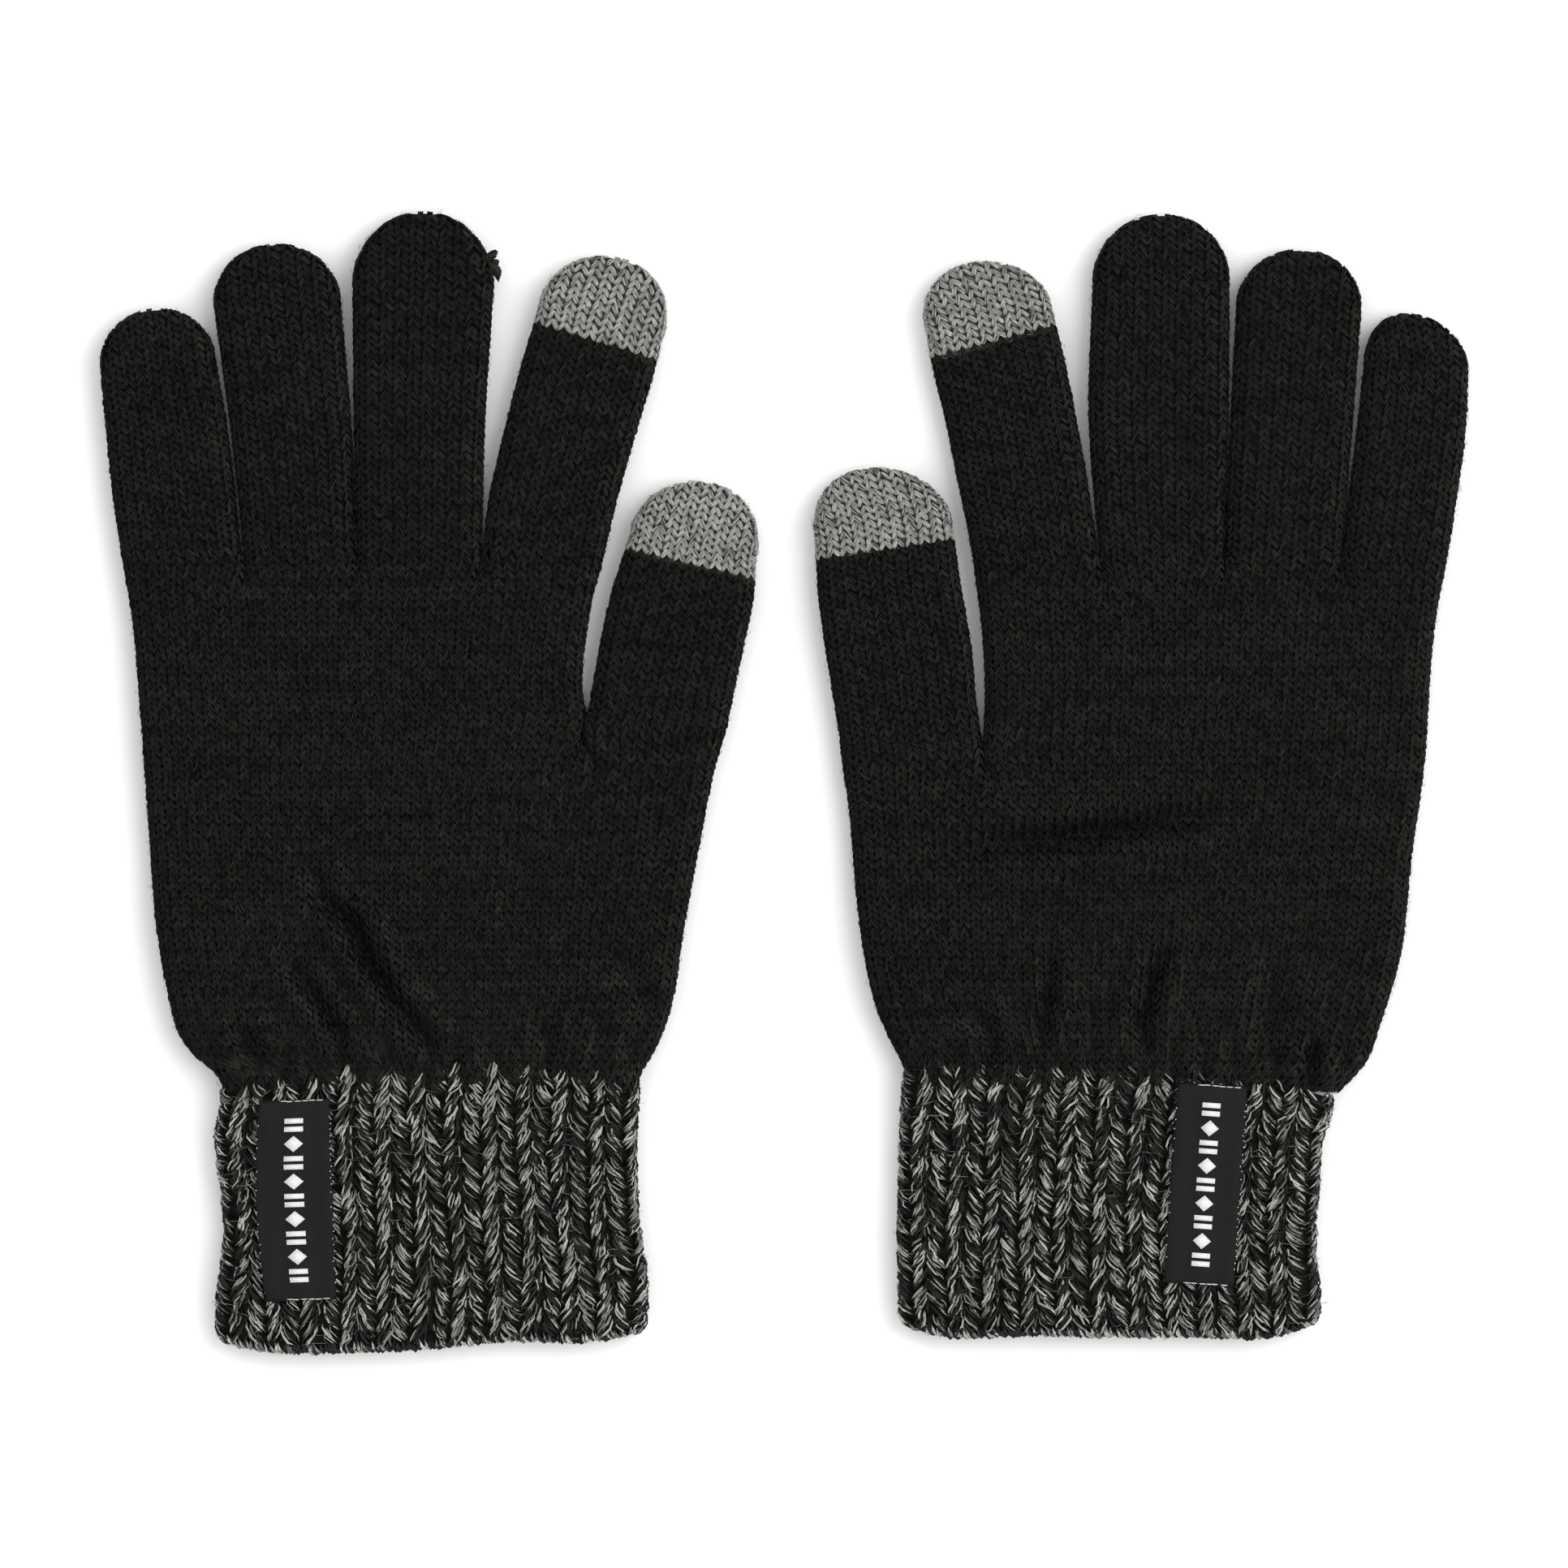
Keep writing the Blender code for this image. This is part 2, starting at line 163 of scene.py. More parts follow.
def curve(points, x):
    """A smooth curve through a few (position, value) points, in position order."""
    xs, ys = np.array([p[0] for p in points], float), np.array([p[1] for p in points], float)
    slopes = np.gradient(ys, xs)
    x = np.clip(np.asarray(x, float), xs[0], xs[-1])
    i = np.clip(np.searchsorted(xs, x) - 1, 0, len(xs) - 2)
    step = xs[i + 1] - xs[i]
    t = (x - xs[i]) / step
    a, b = slopes[i] * step, slopes[i + 1] * step
    return ((2 * t**3 - 3 * t**2 + 1) * ys[i] + (t**3 - 2 * t**2 + t) * a
            + (-2 * t**3 + 3 * t**2) * ys[i + 1] + (t**3 - t**2) * b)


def bumps(x, y, seed, size):
    """Gentle random hills over the plane, from -1 to 1, about this size across."""
    draw = np.random.default_rng(seed)
    total = np.zeros_like(x, dtype=float)
    for _ in range(6):
        angle, phase = draw.uniform(0, 2 * math.pi, 2)
        wave = 2 * math.pi / (size * draw.uniform(0.8, 1.6))
        total += np.sin((x * math.cos(angle) + y * math.sin(angle)) * wave + phase)
    return total / 3.0


# %% [markdown]
# ## The surface that the yarn follows
# One strip of fabric is a flattened tube: flat above and below, and half round at an edge where the fabric
# turns under. Where a digit joins the hand that rounding shrinks to nothing, which leaves a soft groove
# that fades out below each crotch. A place on a strip is (wale, row), and the class turns it into a point.

# %% The strip
class Strip:
    """A flattened tube of fabric, from a table of its ends, height and roundings by row."""

    def __init__(self, rows, left, right, loft, round_left, round_right, wales, full, relief):
        self.rows, self.wales, self.relief = rows, wales, relief
        self.table = np.column_stack([left, right, loft, round_left, round_right, full])
        self.bow = lambda share, row: 0.0

    def at(self, rows):
        """Both ends, the height, both roundings and the unnarrowed width, at these rows."""
        return [np.interp(rows, self.rows, column) for column in self.table.T]

    def share(self, wale, row):
        """How far across its layer the wale is, from 0 to 1, and past those where the tip has narrowed."""
        lx, ly, rx, ry, _, _, _, full = self.at(row)
        q = np.mod(wale, self.wales) / self.wales
        q = np.where(np.mod(wale, 2 * self.wales) >= self.wales, 1 - q, q)
        return 0.5 + (q - 0.5) * full / np.hypot(rx - lx, ry - ly)

    def point(self, wale, row):
        """The point in millimetres; a cuff's own ends shift its rows up or down across its width."""
        lx, ly, rx, ry, loft, round_l, round_r, _ = self.at(row)
        width = np.hypot(rx - lx, ry - ly)
        half = loft / 2
        most = width * 0.49
        rl, rr = np.minimum(round_l * half, most), np.minimum(round_r * half, most)
        length = math.pi / 2 * (rl + rr) + width - rl - rr
        along = np.clip(self.share(wale, row), 0, 1) * length
        arc_l, arc_r = math.pi / 2 * rl, length - math.pi / 2 * rr
        turn_l = np.clip(along / np.maximum(rl, 1e-6), 0, math.pi / 2)
        turn_r = np.clip((length - along) / np.maximum(rr, 1e-6), 0, math.pi / 2)
        in_l, in_r = along < arc_l, along > arc_r
        across = np.where(in_l, rl * (1 - np.cos(turn_l)),
                          np.where(in_r, width - rr * (1 - np.cos(turn_r)), rl + along - arc_l))
        # where the strip is too narrow for its rounding, both sides still come down to the middle plane
        stretch = np.where(round_l * half > most, half / np.maximum(rl, 1e-6), 1.0)
        high = np.where(in_l, half - rl * stretch * (1 - np.sin(turn_l)),
                        np.where(in_r, half - rr * stretch * (1 - np.sin(turn_r)), half))
        x, y = lx + (rx - lx) * across / width, ly + (ry - ly) * across / width
        y = y + self.bow(across / width, row)
        top = np.mod(wale, 2 * self.wales) < self.wales
        shape = np.clip(high / np.maximum(half, 1e-6), 0, 1)
        z = MIDDLE + np.where(top, high + self.relief(x, y) * shape, -high)
        return np.stack([x, y, z], -1)

    def normal(self, wale, row):
        """The outward direction: up on the upper layer and down on the lower one."""
        d = 0.05
        a = self.point(wale + d, row) - self.point(wale - d, row)
        b = self.point(wale, row + d) - self.point(wale, row - d)
        n = np.cross(a, b)
        flip = np.where(np.mod(wale, 2 * self.wales) < self.wales, 1.0, -1.0)
        # on the lower layer the wales run back from right to left, so the cross product already points down
        length = np.linalg.norm(n, axis=-1, keepdims=True)
        up = np.stack([np.zeros_like(flip), np.zeros_like(flip), flip], -1)
        return np.where(length > 1e-9, n / np.maximum(length, 1e-9), up)


# %% [markdown]
# ## Folds and gathers
# The hand is wider than the cuff, so it puffs out and falls into folds just above it. A fold is a soft valley
# along a line of a few points, with a low ridge beside it, and pleats of about the rib's spacing fade upwards
# from the cuff.

# %% Folds
def valley(x, y, points, width, depth, ridge=0.6):
    """Depth of a soft fold along a line: negative in the valley and a little positive on both sides."""
    best = np.full_like(x, 1e9)
    along = np.zeros_like(x)
    count = len(points) - 1
    for i, ((x0, y0), (x1, y1)) in enumerate(zip(points, points[1:])):
        dx, dy = x1 - x0, y1 - y0
        t = np.clip(((x - x0) * dx + (y - y0) * dy) / (dx * dx + dy * dy), 0, 1)
        away = np.hypot(x - x0 - t * dx, y - y0 - t * dy)
        closer = away < best
        best = np.where(closer, away, best)
        along = np.where(closer, (i + t) / count, along)
    fade = np.sin(np.clip(along, 0.02, 0.98) * math.pi) ** 0.7
    u = best / width
    return depth * fade * (ridge * np.exp(-((u - 1.9) ** 2)) - np.exp(-u * u))


FOLDS = {  # each line's points, then its width and depth
    "left": [([(-105, -16), (-101, -25), (-94, -31), (-90, -40), (-86, -46), (-80, -54), (-72, -61)],
              2.3, 4.6),
             ([(-109, -38), (-102, -47), (-97.5, -54), (-97, -64)], 2.0, 3.6),
             ([(-54, -50), (-52, -57), (-52, -65)], 2.0, 2.4),
             ([(-38, -36), (-31, -46), (-27, -52)], 3.2, 2.0),
             ([(-60, -16), (-57, -24), (-62, -34)], 4.0, 1.5),
             ([(-44.5, 12), (-43.5, 8), (-41, 4)], 1.2, 2.2),
             ([(-120, -52), (-117, -58), (-112, -62)], 2.6, 2.2)],
    "right": [([(34, -15), (45, -13), (58, -12), (72, -10), (84, -8), (95, -4)], 3.0, 5.0),
              ([(83, -33), (80, -43), (77.5, -52), (78.5, -63)], 2.2, 4.2),
              ([(57, -33), (57.5, -43), (56, -53), (55, -62)], 1.9, 3.0),
              ([(38, -48), (43, -53), (47, -60)], 2.6, 2.0),
              ([(107, -38), (106, -46), (103, -60)], 3.2, 2.0),
              ([(116, -54), (115, -59), (113, -66)], 1.8, 2.4)],
}


def relief_of(side):
    """The height that folds, pleats and slight unevenness add to the upper layer of one glove."""
    def relief(x, y):
        total = 0.22 * bumps(x, y, 3 if side == "left" else 4, 26.0)
        for points, width, depth in FOLDS[side]:
            total = total + valley(x, y, points, width, depth)
        near = smooth(y, -48, -62) * smooth(y, -68, -64)
        total = total + near * 0.9 * np.sin(x * 2 * math.pi / RIB_PITCH + bumps(x, y, 9, 18.0))
        return total + 1.4 * smooth(y, -12, -34) * smooth(y, -65, -42)
    return relief


# %% [markdown]
# ## From outlines to strips
# Above the crotches a strip follows its own digit. Below them the five strips share the width of the hand:
# evenly by their number of wales at the cuff, and easing into the width of each digit higher up. At a
# fingertip the fabric keeps its wales straight and loses them at the sides one by one, so the tip rounds off.

# %% Making the strips of a glove
def digit_edges(digit, row):
    """Left and right end of the leaning row that crosses the digit's middle at this height."""
    edges = digit["edges"]
    shoulder = edges[-1][0]
    lows, highs = [(e[0], e[1]) for e in edges], [(e[0], e[2]) for e in edges]
    base = np.minimum(row, shoulder)
    half = (curve(highs, base) - curve(lows, base)) / 2 - YARN_INSET
    tilt = math.radians(digit["lean"])
    reach = digit_reach(digit)
    beyond = np.clip(along_dome(digit, row) / reach, 0, 0.9995)
    middle = (curve(highs, base) + curve(lows, base)) / 2
    middle = middle + reach * beyond * math.sin(tilt) + tip_offset(digit) * beyond**1.5
    height = np.where(row > shoulder, shoulder + reach * beyond * math.cos(tilt), row)
    lean = tilt * smooth(row, edges[0][0] - 6, edges[0][0] + 16)
    narrowed = half * np.sqrt(1 - beyond**2)
    lift = narrowed * np.sin(lean)
    # a leaning row meets each edge at another height, so the edge is read there
    shift_l = run_on(lows, base + lift) - curve(lows, base)
    shift_r = run_on(highs, base - lift) - curve(highs, base)
    inside = 1 - beyond
    left = np.stack([middle - narrowed + shift_l * inside, height + lift], -1)
    right = np.stack([middle + narrowed + shift_r * inside, height - lift], -1)
    return left, right, half * 2, beyond


def run_on(points, height):
    """A digit's edge at a height, running on straight past its shoulder."""
    (y0, x0), (y1, x1) = points[-2:]
    return curve(points, height) + (x1 - x0) / (y1 - y0) * np.maximum(height - y1, 0)


def digit_reach(digit):
    """Length of the rounded end, measured along the digit, so that its highest point comes to the tip."""
    shoulder, left, right = digit["edges"][-1]
    tilt = math.radians(digit["lean"])
    slant = (right - left) / 2 * math.sin(tilt)
    return math.sqrt((digit["tip"][1] - TIP_INSET - shoulder) ** 2 - slant**2) / math.cos(tilt)


def tip_offset(digit):
    """How far the rounded end moves sideways so that its highest point comes to the tip."""
    shoulder, left, right = digit["edges"][-1]
    half, tilt = (right - left) / 2, math.radians(digit["lean"])
    rise = digit["tip"][1] - TIP_INSET - shoulder
    sway = math.sin(tilt) * math.cos(tilt) * (digit_reach(digit) ** 2 - half**2) / rise
    return digit["tip"][0] - (left + right) / 2 - sway


def along_dome(digit, row):
    """How far past the shoulder a row lies. The last rows turn down over the end, so they come closer."""
    flat = digit_reach(digit) - TURN_DOWN
    past = np.maximum(row - digit["edges"][-1][0], 0)
    over = np.clip((past - flat) / TURN_DOWN, 0, math.pi / 2)
    return np.where(past < flat, past, flat + TURN_DOWN * np.sin(over))


def hand_edges(glove, name, rows):
    """Left and right end of the strip's row in the hand."""
    order = glove["order"]
    digits = [n for n in order if n != "thumb"]
    low, high = curve(glove["low_edge"], rows) + YARN_INSET, curve(glove["high_edge"], rows) - YARN_INSET
    wales = [glove[n]["wales"] for n in order]
    counts = np.cumsum([0] + wales) / sum(wales)
    # widths at the knuckle line, as shares of the four fingers' width
    first, last = glove[digits[0]]["edges"][0][1], glove[digits[-1]]["edges"][0][2]
    bounds = [(glove[n]["edges"][0][1] - first) / (last - first) for n in digits] + [1.0]
    thumb_first = order[0] == "thumb"
    crotch = glove["thumb"]["edges"][0][2 if thumb_first else 1]
    crotch_y = glove["thumb"]["edges"][0][0]
    edge_low, edge_high = (float(curve(glove[edge], crotch_y)) for edge in ("low_edge", "high_edge"))
    split = (crotch - edge_low) / (edge_high - edge_low)
    if thumb_first:
        upper = [0.0] + [split + (1 - split) * b for b in bounds]
    else:
        upper = [split * b for b in bounds] + [1.0]
    ease = smooth(rows, WRIST_Y, crotch_y)
    i = order.index(name)
    shares = [counts[k] * (1 - ease) + upper[k] * ease for k in (i, i + 1)]
    below = [low + (high - low) * share for share in shares]
    if name == "thumb":
        return below
    # above the thumb crotch the four fingers have the hand to themselves
    inner = curve(glove["thumb_side"], rows)
    free_low, free_high = (inner, high) if thumb_first else (low, inner)
    k = digits.index(name)
    above = [free_low + (free_high - free_low) * bounds[j] for j in (k, k + 1)]
    return [np.where(rows > crotch_y, a, b) for a, b in zip(above, below)]


def make_strip(side, name):
    """The strip of one digit, with its share of the hand below it."""
    glove = GLOVES[side]
    digit = glove[name]
    start = digit["edges"][0][0]
    last = digit["edges"][-1][0] + digit_reach(digit) + TURN_DOWN * (math.pi / 2 - 1)
    rows = np.append(np.arange(-72.0, last - 0.1, 0.25), last)
    left, right, full, beyond = digit_edges(digit, np.maximum(rows, start))
    lean = math.radians(digit["lean"])
    hand_l, hand_r = hand_edges(glove, name, rows)
    if name == "thumb":
        drop = (hand_r - hand_l) / 2 * math.sin(lean) * smooth(rows, -14, 30)
        mix = smooth(rows, start - 6, start + 2)[:, None]
    else:
        drop = np.zeros_like(rows)
        mix = (rows >= start).astype(float)[:, None]
    hand_left = np.stack([hand_l, rows + drop], -1)
    hand_right = np.stack([hand_r, rows - drop], -1)
    left, right = hand_left * (1 - mix) + left * mix, hand_right * (1 - mix) + right * mix
    width = np.hypot(*(right - left).T)
    full = np.where(beyond > 0, full, width)
    loft = LOFT * (1 - beyond**2) ** 0.3
    loft = loft * (1 - 0.35 * smooth(rows, -62.5, -67))
    # a side that joins a neighbour is rounded only above their crotch, with a groove fading out below it
    order = glove["order"]
    finger_groove = smooth(rows, 41.5, 49.0)
    crotch_y = glove["thumb"]["edges"][0][0]
    thumb_groove = smooth(rows, crotch_y - 12, crotch_y - 1)
    rounding = []
    for step in (-1, 1):
        k = order.index(name) + step
        if not 0 <= k < len(order):
            rounding.append(np.ones_like(rows))
        elif "thumb" in (name, order[k]):
            rounding.append(thumb_groove)
        else:
            rounding.append(finger_groove)
    return Strip(rows, left, right, loft, rounding[0], rounding[1], digit["wales"], full, relief_of(side))


strips = {(side, name): make_strip(side, name) for side in GLOVES for name in GLOVES[side]["order"]}
print("strips", len(strips))


# %% [markdown]
# ## Yarn
# A stitch of plain knitting shows as a V: two short fat legs that lean away from each other and tuck under
# the row above. Curves with a bevel could draw them, but tens of thousands of curves would be slow. So each
# leg is a few small spindles side by side, written straight into one mesh: a pointed end, a few rings, and
# a pointed end. Each corner also stores where it is along and around its strand, and a random number, which
# the yarn's material reads.

# %% A mesh that collects spindles and sheets
def grid_faces(m, n):
    """Faces between the points of an m by n grid."""
    i, j = (v.ravel() for v in np.meshgrid(np.arange(m - 1), np.arange(n - 1), indexing="ij"))
    return np.stack([i * n + j, (i + 1) * n + j, (i + 1) * n + j + 1, i * n + j + 1], -1)


class Yarnwork:
    def __init__(self):
        self.points, self.faces, self.slots, self.notes, self.count = [], [], [], [], 0

    def add(self, points, faces, slot, notes):
        """points and notes are (n, 3), in millimetres, and faces is a list of arrays of corner numbers."""
        self.points.append(points)
        self.notes.append(notes)
        for block in faces:
            self.faces.append(block + self.count)
            self.slots.append(np.full(len(block), slot))
        self.count += len(points)

    def strands(self, path, side, out, across, thick, slot, sides=5):
        """Spindles along many short paths. path, side and out are (strands, rings, 3), and the half widths
        across and half thicknesses are (strands, rings). slot is one number, or one for each strand."""
        n, m, _ = path.shape
        draw = RANDOM.uniform(0, 1, n)
        angle = np.arange(sides) / sides * 2 * math.pi
        inner = path[:, 1:-1, None, :] + (
            side[:, 1:-1, None, :] * (np.cos(angle)[None, None, :] * across[:, 1:-1, None])[..., None]
            + out[:, 1:-1, None, :] * (np.sin(angle)[None, None, :] * thick[:, 1:-1, None])[..., None])
        rings = m - 2
        per = rings * sides + 2
        points = np.concatenate([inner.reshape(n, rings * sides, 3), path[:, :1], path[:, -1:]], 1)
        along = np.repeat(np.arange(1, m - 1) / (m - 1), sides)
        notes = np.zeros((n, per, 3))
        notes[:, : rings * sides, 0] = along
        notes[:, : rings * sides, 1] = np.tile(np.arange(sides) / sides, rings)
        notes[:, -1, 0] = 1.0
        notes[:, :, 2] = draw[:, None]
        ring = np.arange(sides)
        after = (ring + 1) % sides
        around = np.stack([ring, after, after + sides, ring + sides], -1)
        quads = np.concatenate([around + k * sides for k in range(rings - 1)])
        first, last = rings * sides, rings * sides + 1
        end = (rings - 1) * sides
        caps = np.concatenate([np.stack([after, ring, np.full(sides, first)], -1),
                               np.stack([end + ring, end + after, np.full(sides, last)], -1)])
        base = (np.arange(n) * per + self.count)[:, None, None]
        self.points.append(points.reshape(-1, 3))
        self.notes.append(notes.reshape(-1, 3))
        for block in (quads, caps):
            self.faces.append((base + block).reshape(-1, block.shape[1]))
            self.slots.append(np.repeat(np.broadcast_to(slot, n), len(block)))
        self.count += n * per

    def build(self, name, materials):
        """Makes the object, with its mesh in metres. materials is a list of (procedural, plain) pairs."""
        points = np.concatenate(self.points) * MM
        points[:, 2] = np.maximum(points[:, 2], 0.0)  # pressed flat where it would pass through the table
        notes = np.concatenate(self.notes)
        sizes = np.concatenate([np.full(len(f), f.shape[1]) for f in self.faces])
        corners = np.concatenate([f.ravel() for f in self.faces])
        slots = np.concatenate(self.slots)
        mesh = bpy.data.meshes.new(name)
        mesh.vertices.add(len(points))
        mesh.vertices.foreach_set("co", points.astype(np.float32).ravel())
        mesh.loops.add(len(corners))
        mesh.loops.foreach_set("vertex_index", corners.astype(np.int32))
        mesh.polygons.add(len(sizes))
        starts = np.concatenate([[0], np.cumsum(sizes)[:-1]])
        mesh.polygons.foreach_set("loop_start", starts.astype(np.int32))
        mesh.polygons.foreach_set("material_index", slots.astype(np.int32))
        mesh.polygons.foreach_set("use_smooth", np.ones(len(sizes), bool))
        mesh.update(calc_edges=True)
        stored = mesh.attributes.new("yarn", "FLOAT_VECTOR", "POINT")
        stored.data.foreach_set("vector", notes.astype(np.float32).ravel())
        made = bpy.data.objects.new(name, mesh)
        bpy.context.scene.collection.objects.link(made)
        finish_slots(made, materials)
        return made


def finish_slots(piece, materials):
    """The procedural finish sits on the object, and a plain one of the same colour on its mesh."""
    for _, plain in materials:
        piece.data.materials.append(plain)
    for slot, (procedural, _) in zip(piece.material_slots, materials):
        slot.link = "OBJECT"
        slot.material = procedural


# %% [markdown]
# ## Finishes
# The class below wraps a shader socket so that the maths of a finish reads as ordinary Python. Numbers go
# through Math nodes, and colours through Mix nodes.

# %% Shader maths
class Wire:
    def __init__(self, tree, socket):
        self.tree, self.socket = tree, socket

    def node(self, kind, settings=None, inputs=None, out=0):
        made = self.tree.nodes.new(kind)
        for key, value in (settings or {}).items():
            setattr(made, key, value)
        for key, value in (inputs or {}).items():
            plug(self.tree, made.inputs[key], value)
        return Wire(self.tree, made.outputs[out])

    def maths(self, operation, *values):
        return self.node("ShaderNodeMath", {"operation": operation}, dict(enumerate(values)))

    def __add__(self, other):
        return self.maths("ADD", self, other)

    def __mul__(self, other):
        return self.maths("MULTIPLY", self, other)

    def __sub__(self, other):
        return self.maths("SUBTRACT", self, other)

    def __rsub__(self, other):
        return self.maths("SUBTRACT", other, self)

    def __pow__(self, other):
        return self.maths("POWER", self, other)

    __radd__, __rmul__ = __add__, __mul__

    def sine(self):
        return self.maths("SINE", self)

    def clamp(self):
        return self.node("ShaderNodeClamp", None, {"Value": self})

    def mix(self, dark, light):
        """A colour between dark and light by this value."""
        return self.node("ShaderNodeMix", {"data_type": "RGBA"}, {0: self, 6: dark, 7: light}, out=2)


def plug(tree, socket, value):
    if isinstance(value, Wire):
        tree.links.new(value.socket, socket)
    elif isinstance(value, tuple) and socket.type == "RGBA":
        socket.default_value = (*value, 1.0)
    else:
        socket.default_value = value


def new_finish(name, plain_colour, roughness, specular):
    """A procedural material and its plain twin. Returns the pair, the shader and a starting wire."""
    pair = []
    for suffix in ("", "_plain"):
        made = bpy.data.materials.new(name + suffix)
        made.use_nodes = True
        shader = made.node_tree.nodes["Principled BSDF"]
        shader.inputs["Base Color"].default_value = (*plain_colour, 1.0)
        shader.inputs["Roughness"].default_value = roughness
        shader.inputs["Specular IOR Level"].default_value = specular
        made.diffuse_color = (*plain_colour, 1.0)
        pair.append((made, shader))
    tree = pair[0][0].node_tree
    return (pair[0][0], pair[1][0]), pair[0][1], Wire(tree, None)


# %% [markdown]
# ### Yarn finishes
# Spun yarn is several plies twisted together, so each strand shows fine lines that run nearly along it, with
# a painted highlight where a ply stands up. The lines come from the place along and around the strand that
# each corner stores, and every leg gets its own slight shade from its random number. Fine noise adds single
# fibres.

# %% Yarn materials
def stored_place(start):
    """The three numbers that each corner stores, as wires: along, around, and the strand's own."""
    place = start.node("ShaderNodeAttribute", {"attribute_name": "yarn"}, out=1)
    parts = place.tree.nodes.new("ShaderNodeSeparateXYZ")
    plug(place.tree, parts.inputs[0], place)
    return [Wire(place.tree, output) for output in parts.outputs]


def dress(start, shader, colour, roughness, strength, depth, height):
    """Plugs a finished colour, roughness and bump into the shader."""
    plug(start.tree, shader.inputs["Base Color"], colour)
    plug(start.tree, shader.inputs["Roughness"], roughness)
    bump = start.node("ShaderNodeBump", None, {"Strength": strength, "Distance": depth, "Height": height})
    plug(start.tree, shader.inputs["Normal"], bump)


def yarn_finish(name, dark, light, turns, plies, roughness=0.9, specular=0.04, spread=0.32, relief=0.5):
    """Spun yarn between a dark and a light colour, its plies turning this often along a strand."""
    middle = tuple((a + b) / 2 for a, b in zip(dark, light))
    pair, shader, start = new_finish(name, middle, roughness, specular)
    along, around, own = stored_place(start)
    ply = (along * (turns * 2 * math.pi) + around * (plies * 2 * math.pi) + own * 40.0).sine() * 0.5 + 0.5
    where = start.node("ShaderNodeTexCoord", out=3)
    fibre = start.node("ShaderNodeTexNoise", None, {"Vector": where, "Scale": 2200.0, "Detail": 2.0})
    level = start.node("ShaderNodeVectorMath", {"operation": "MULTIPLY"}, {0: where, 1: (45.0, 480.0, 45.0)})
    course = start.node("ShaderNodeTexNoise", None, {"Vector": level, "Scale": 1.0, "Detail": 1.0})
    # the ply term in the colour is a painted highlight along each raised ply; fibre, course and own vary the
    # tone at random
    shade = (ply * 0.5 + fibre * 0.6 + course * 0.5 - 0.42 + (own - 0.5) * spread).clamp()
    rough = (roughness + (0.5 - ply) * 0.12).clamp()
    dress(start, shader, shade.mix(dark, light), rough, relief, 0.00015, ply + fibre * 0.5)
    return pair


BLACK_YARN = yarn_finish("black_yarn", (0.0078, 0.0073, 0.0064), (0.0385, 0.0366, 0.0328), 0.5, 2,
                         relief=0.6)
BLACK_WORN = yarn_finish("black_yarn_rubbed", (0.010, 0.0095, 0.0086), (0.044, 0.0423, 0.0385), 0.5, 2)
BLACK_FIBRE = yarn_finish("black_loose_fibre", (0.012, 0.0115, 0.0105), (0.050, 0.048, 0.044), 0.3, 1)
GREY_YARN = yarn_finish("grey_conductive_yarn", (0.205, 0.201, 0.187), (0.50, 0.49, 0.462), 1.2, 1, 0.7, 0.15,
                        spread=0.6)
GREY_DARK = yarn_finish("grey_shadow_ply", (0.05, 0.05, 0.05), (0.26, 0.258, 0.25), 1.2, 1, spread=0.9)
# the two inner layers are darker than their yarn: painted shade for the gaps between stitches and inside the
# cuff
GREY_INNER_SHADE = yarn_finish("grey_inner_layer", (0.03, 0.03, 0.029), (0.09, 0.089, 0.086), 1.0, 1)
MARL_DARK = yarn_finish("marl_black_strand", (0.008, 0.008, 0.0076), (0.046, 0.0453, 0.0431), 1.0, 4)
MARL_LIGHT = yarn_finish("marl_light_strand", (0.07, 0.068, 0.062), (0.60, 0.588, 0.546), 0.8, 4, spread=0.8)
INNER_SHADE = yarn_finish("inner_layer", (0.003, 0.0028, 0.0025), (0.012, 0.0115, 0.0105), 1.0, 1)
print("yarn finishes", len([m for m in bpy.data.materials if not m.name.endswith("_plain")]))

# %% [markdown]
# ## Stitches
# The same stitch maker serves the black hand and the grey fingertips. Twisted yarn makes the two legs of
# each V differ a little: the left one is a trifle broader than the right one. A leg starts low in the middle
# of its wale, swells, and ends higher and further out, where the next row hides its end. Small random shifts
# stop the fabric looking stamped: real acrylic yarn is soft and uneven.

# %% The stitch maker
# across in wales from the middle, along in courses, height and half width in millimetres
LEGS = {
    "slanting": (np.array([-0.50, -0.44, -0.27, -0.07, 0.05]), np.array([0.96, 0.66, 0.24, -0.16, -0.50]),
                 np.array([-0.34, 0.04, 0.24, 0.26, -0.20]), np.array([0.0, 0.58, 0.63, 0.56, 0.0])),
    "upright": (np.array([0.47, 0.43, 0.32, 0.19, 0.08]), np.array([1.06, 0.70, 0.22, -0.24, -0.60]),
                np.array([-0.34, 0.05, 0.25, 0.26, -0.22]), np.array([0.0, 0.53, 0.60, 0.52, 0.0])),
}
THICKNESS = 0.6  # of a leg, as a share of its width


def lay_frames(strip, wale, row, lift):
    """Points, side directions and outward directions of paths given by their places on a strip."""
    base, out = strip.point(wale, row), strip.normal(wale, row)
    path = base + out * lift[..., None]
    run = unit(np.gradient(path, axis=1))
    return path, run, unit(np.cross(run, out)), out


def pick_slots(slots, count, share):
    """The first slot for about this share of the strands, and the second for the rest, at random."""
    return np.asarray(slots)[(RANDOM.uniform(0, 1, count) > share).astype(int)]


def stitch_grid(strip, first, last):
    """The (wale, row) of every stitch between two rows, without those that a narrowing tip has dropped."""
    rows = np.arange(math.ceil(first / COURSE), math.ceil(last / COURSE)) * COURSE
    rows = rows[rows < strip.rows[-1] - 0.9]
    wale, row = np.meshgrid(np.arange(2 * strip.wales) + 0.5, rows, indexing="ij")
    wale, row = wale.ravel(), row.ravel()
    keep = np.abs(strip.share(wale, row) - 0.5) < 0.5 - 0.2 / strip.wales
    return wale[keep], row[keep]


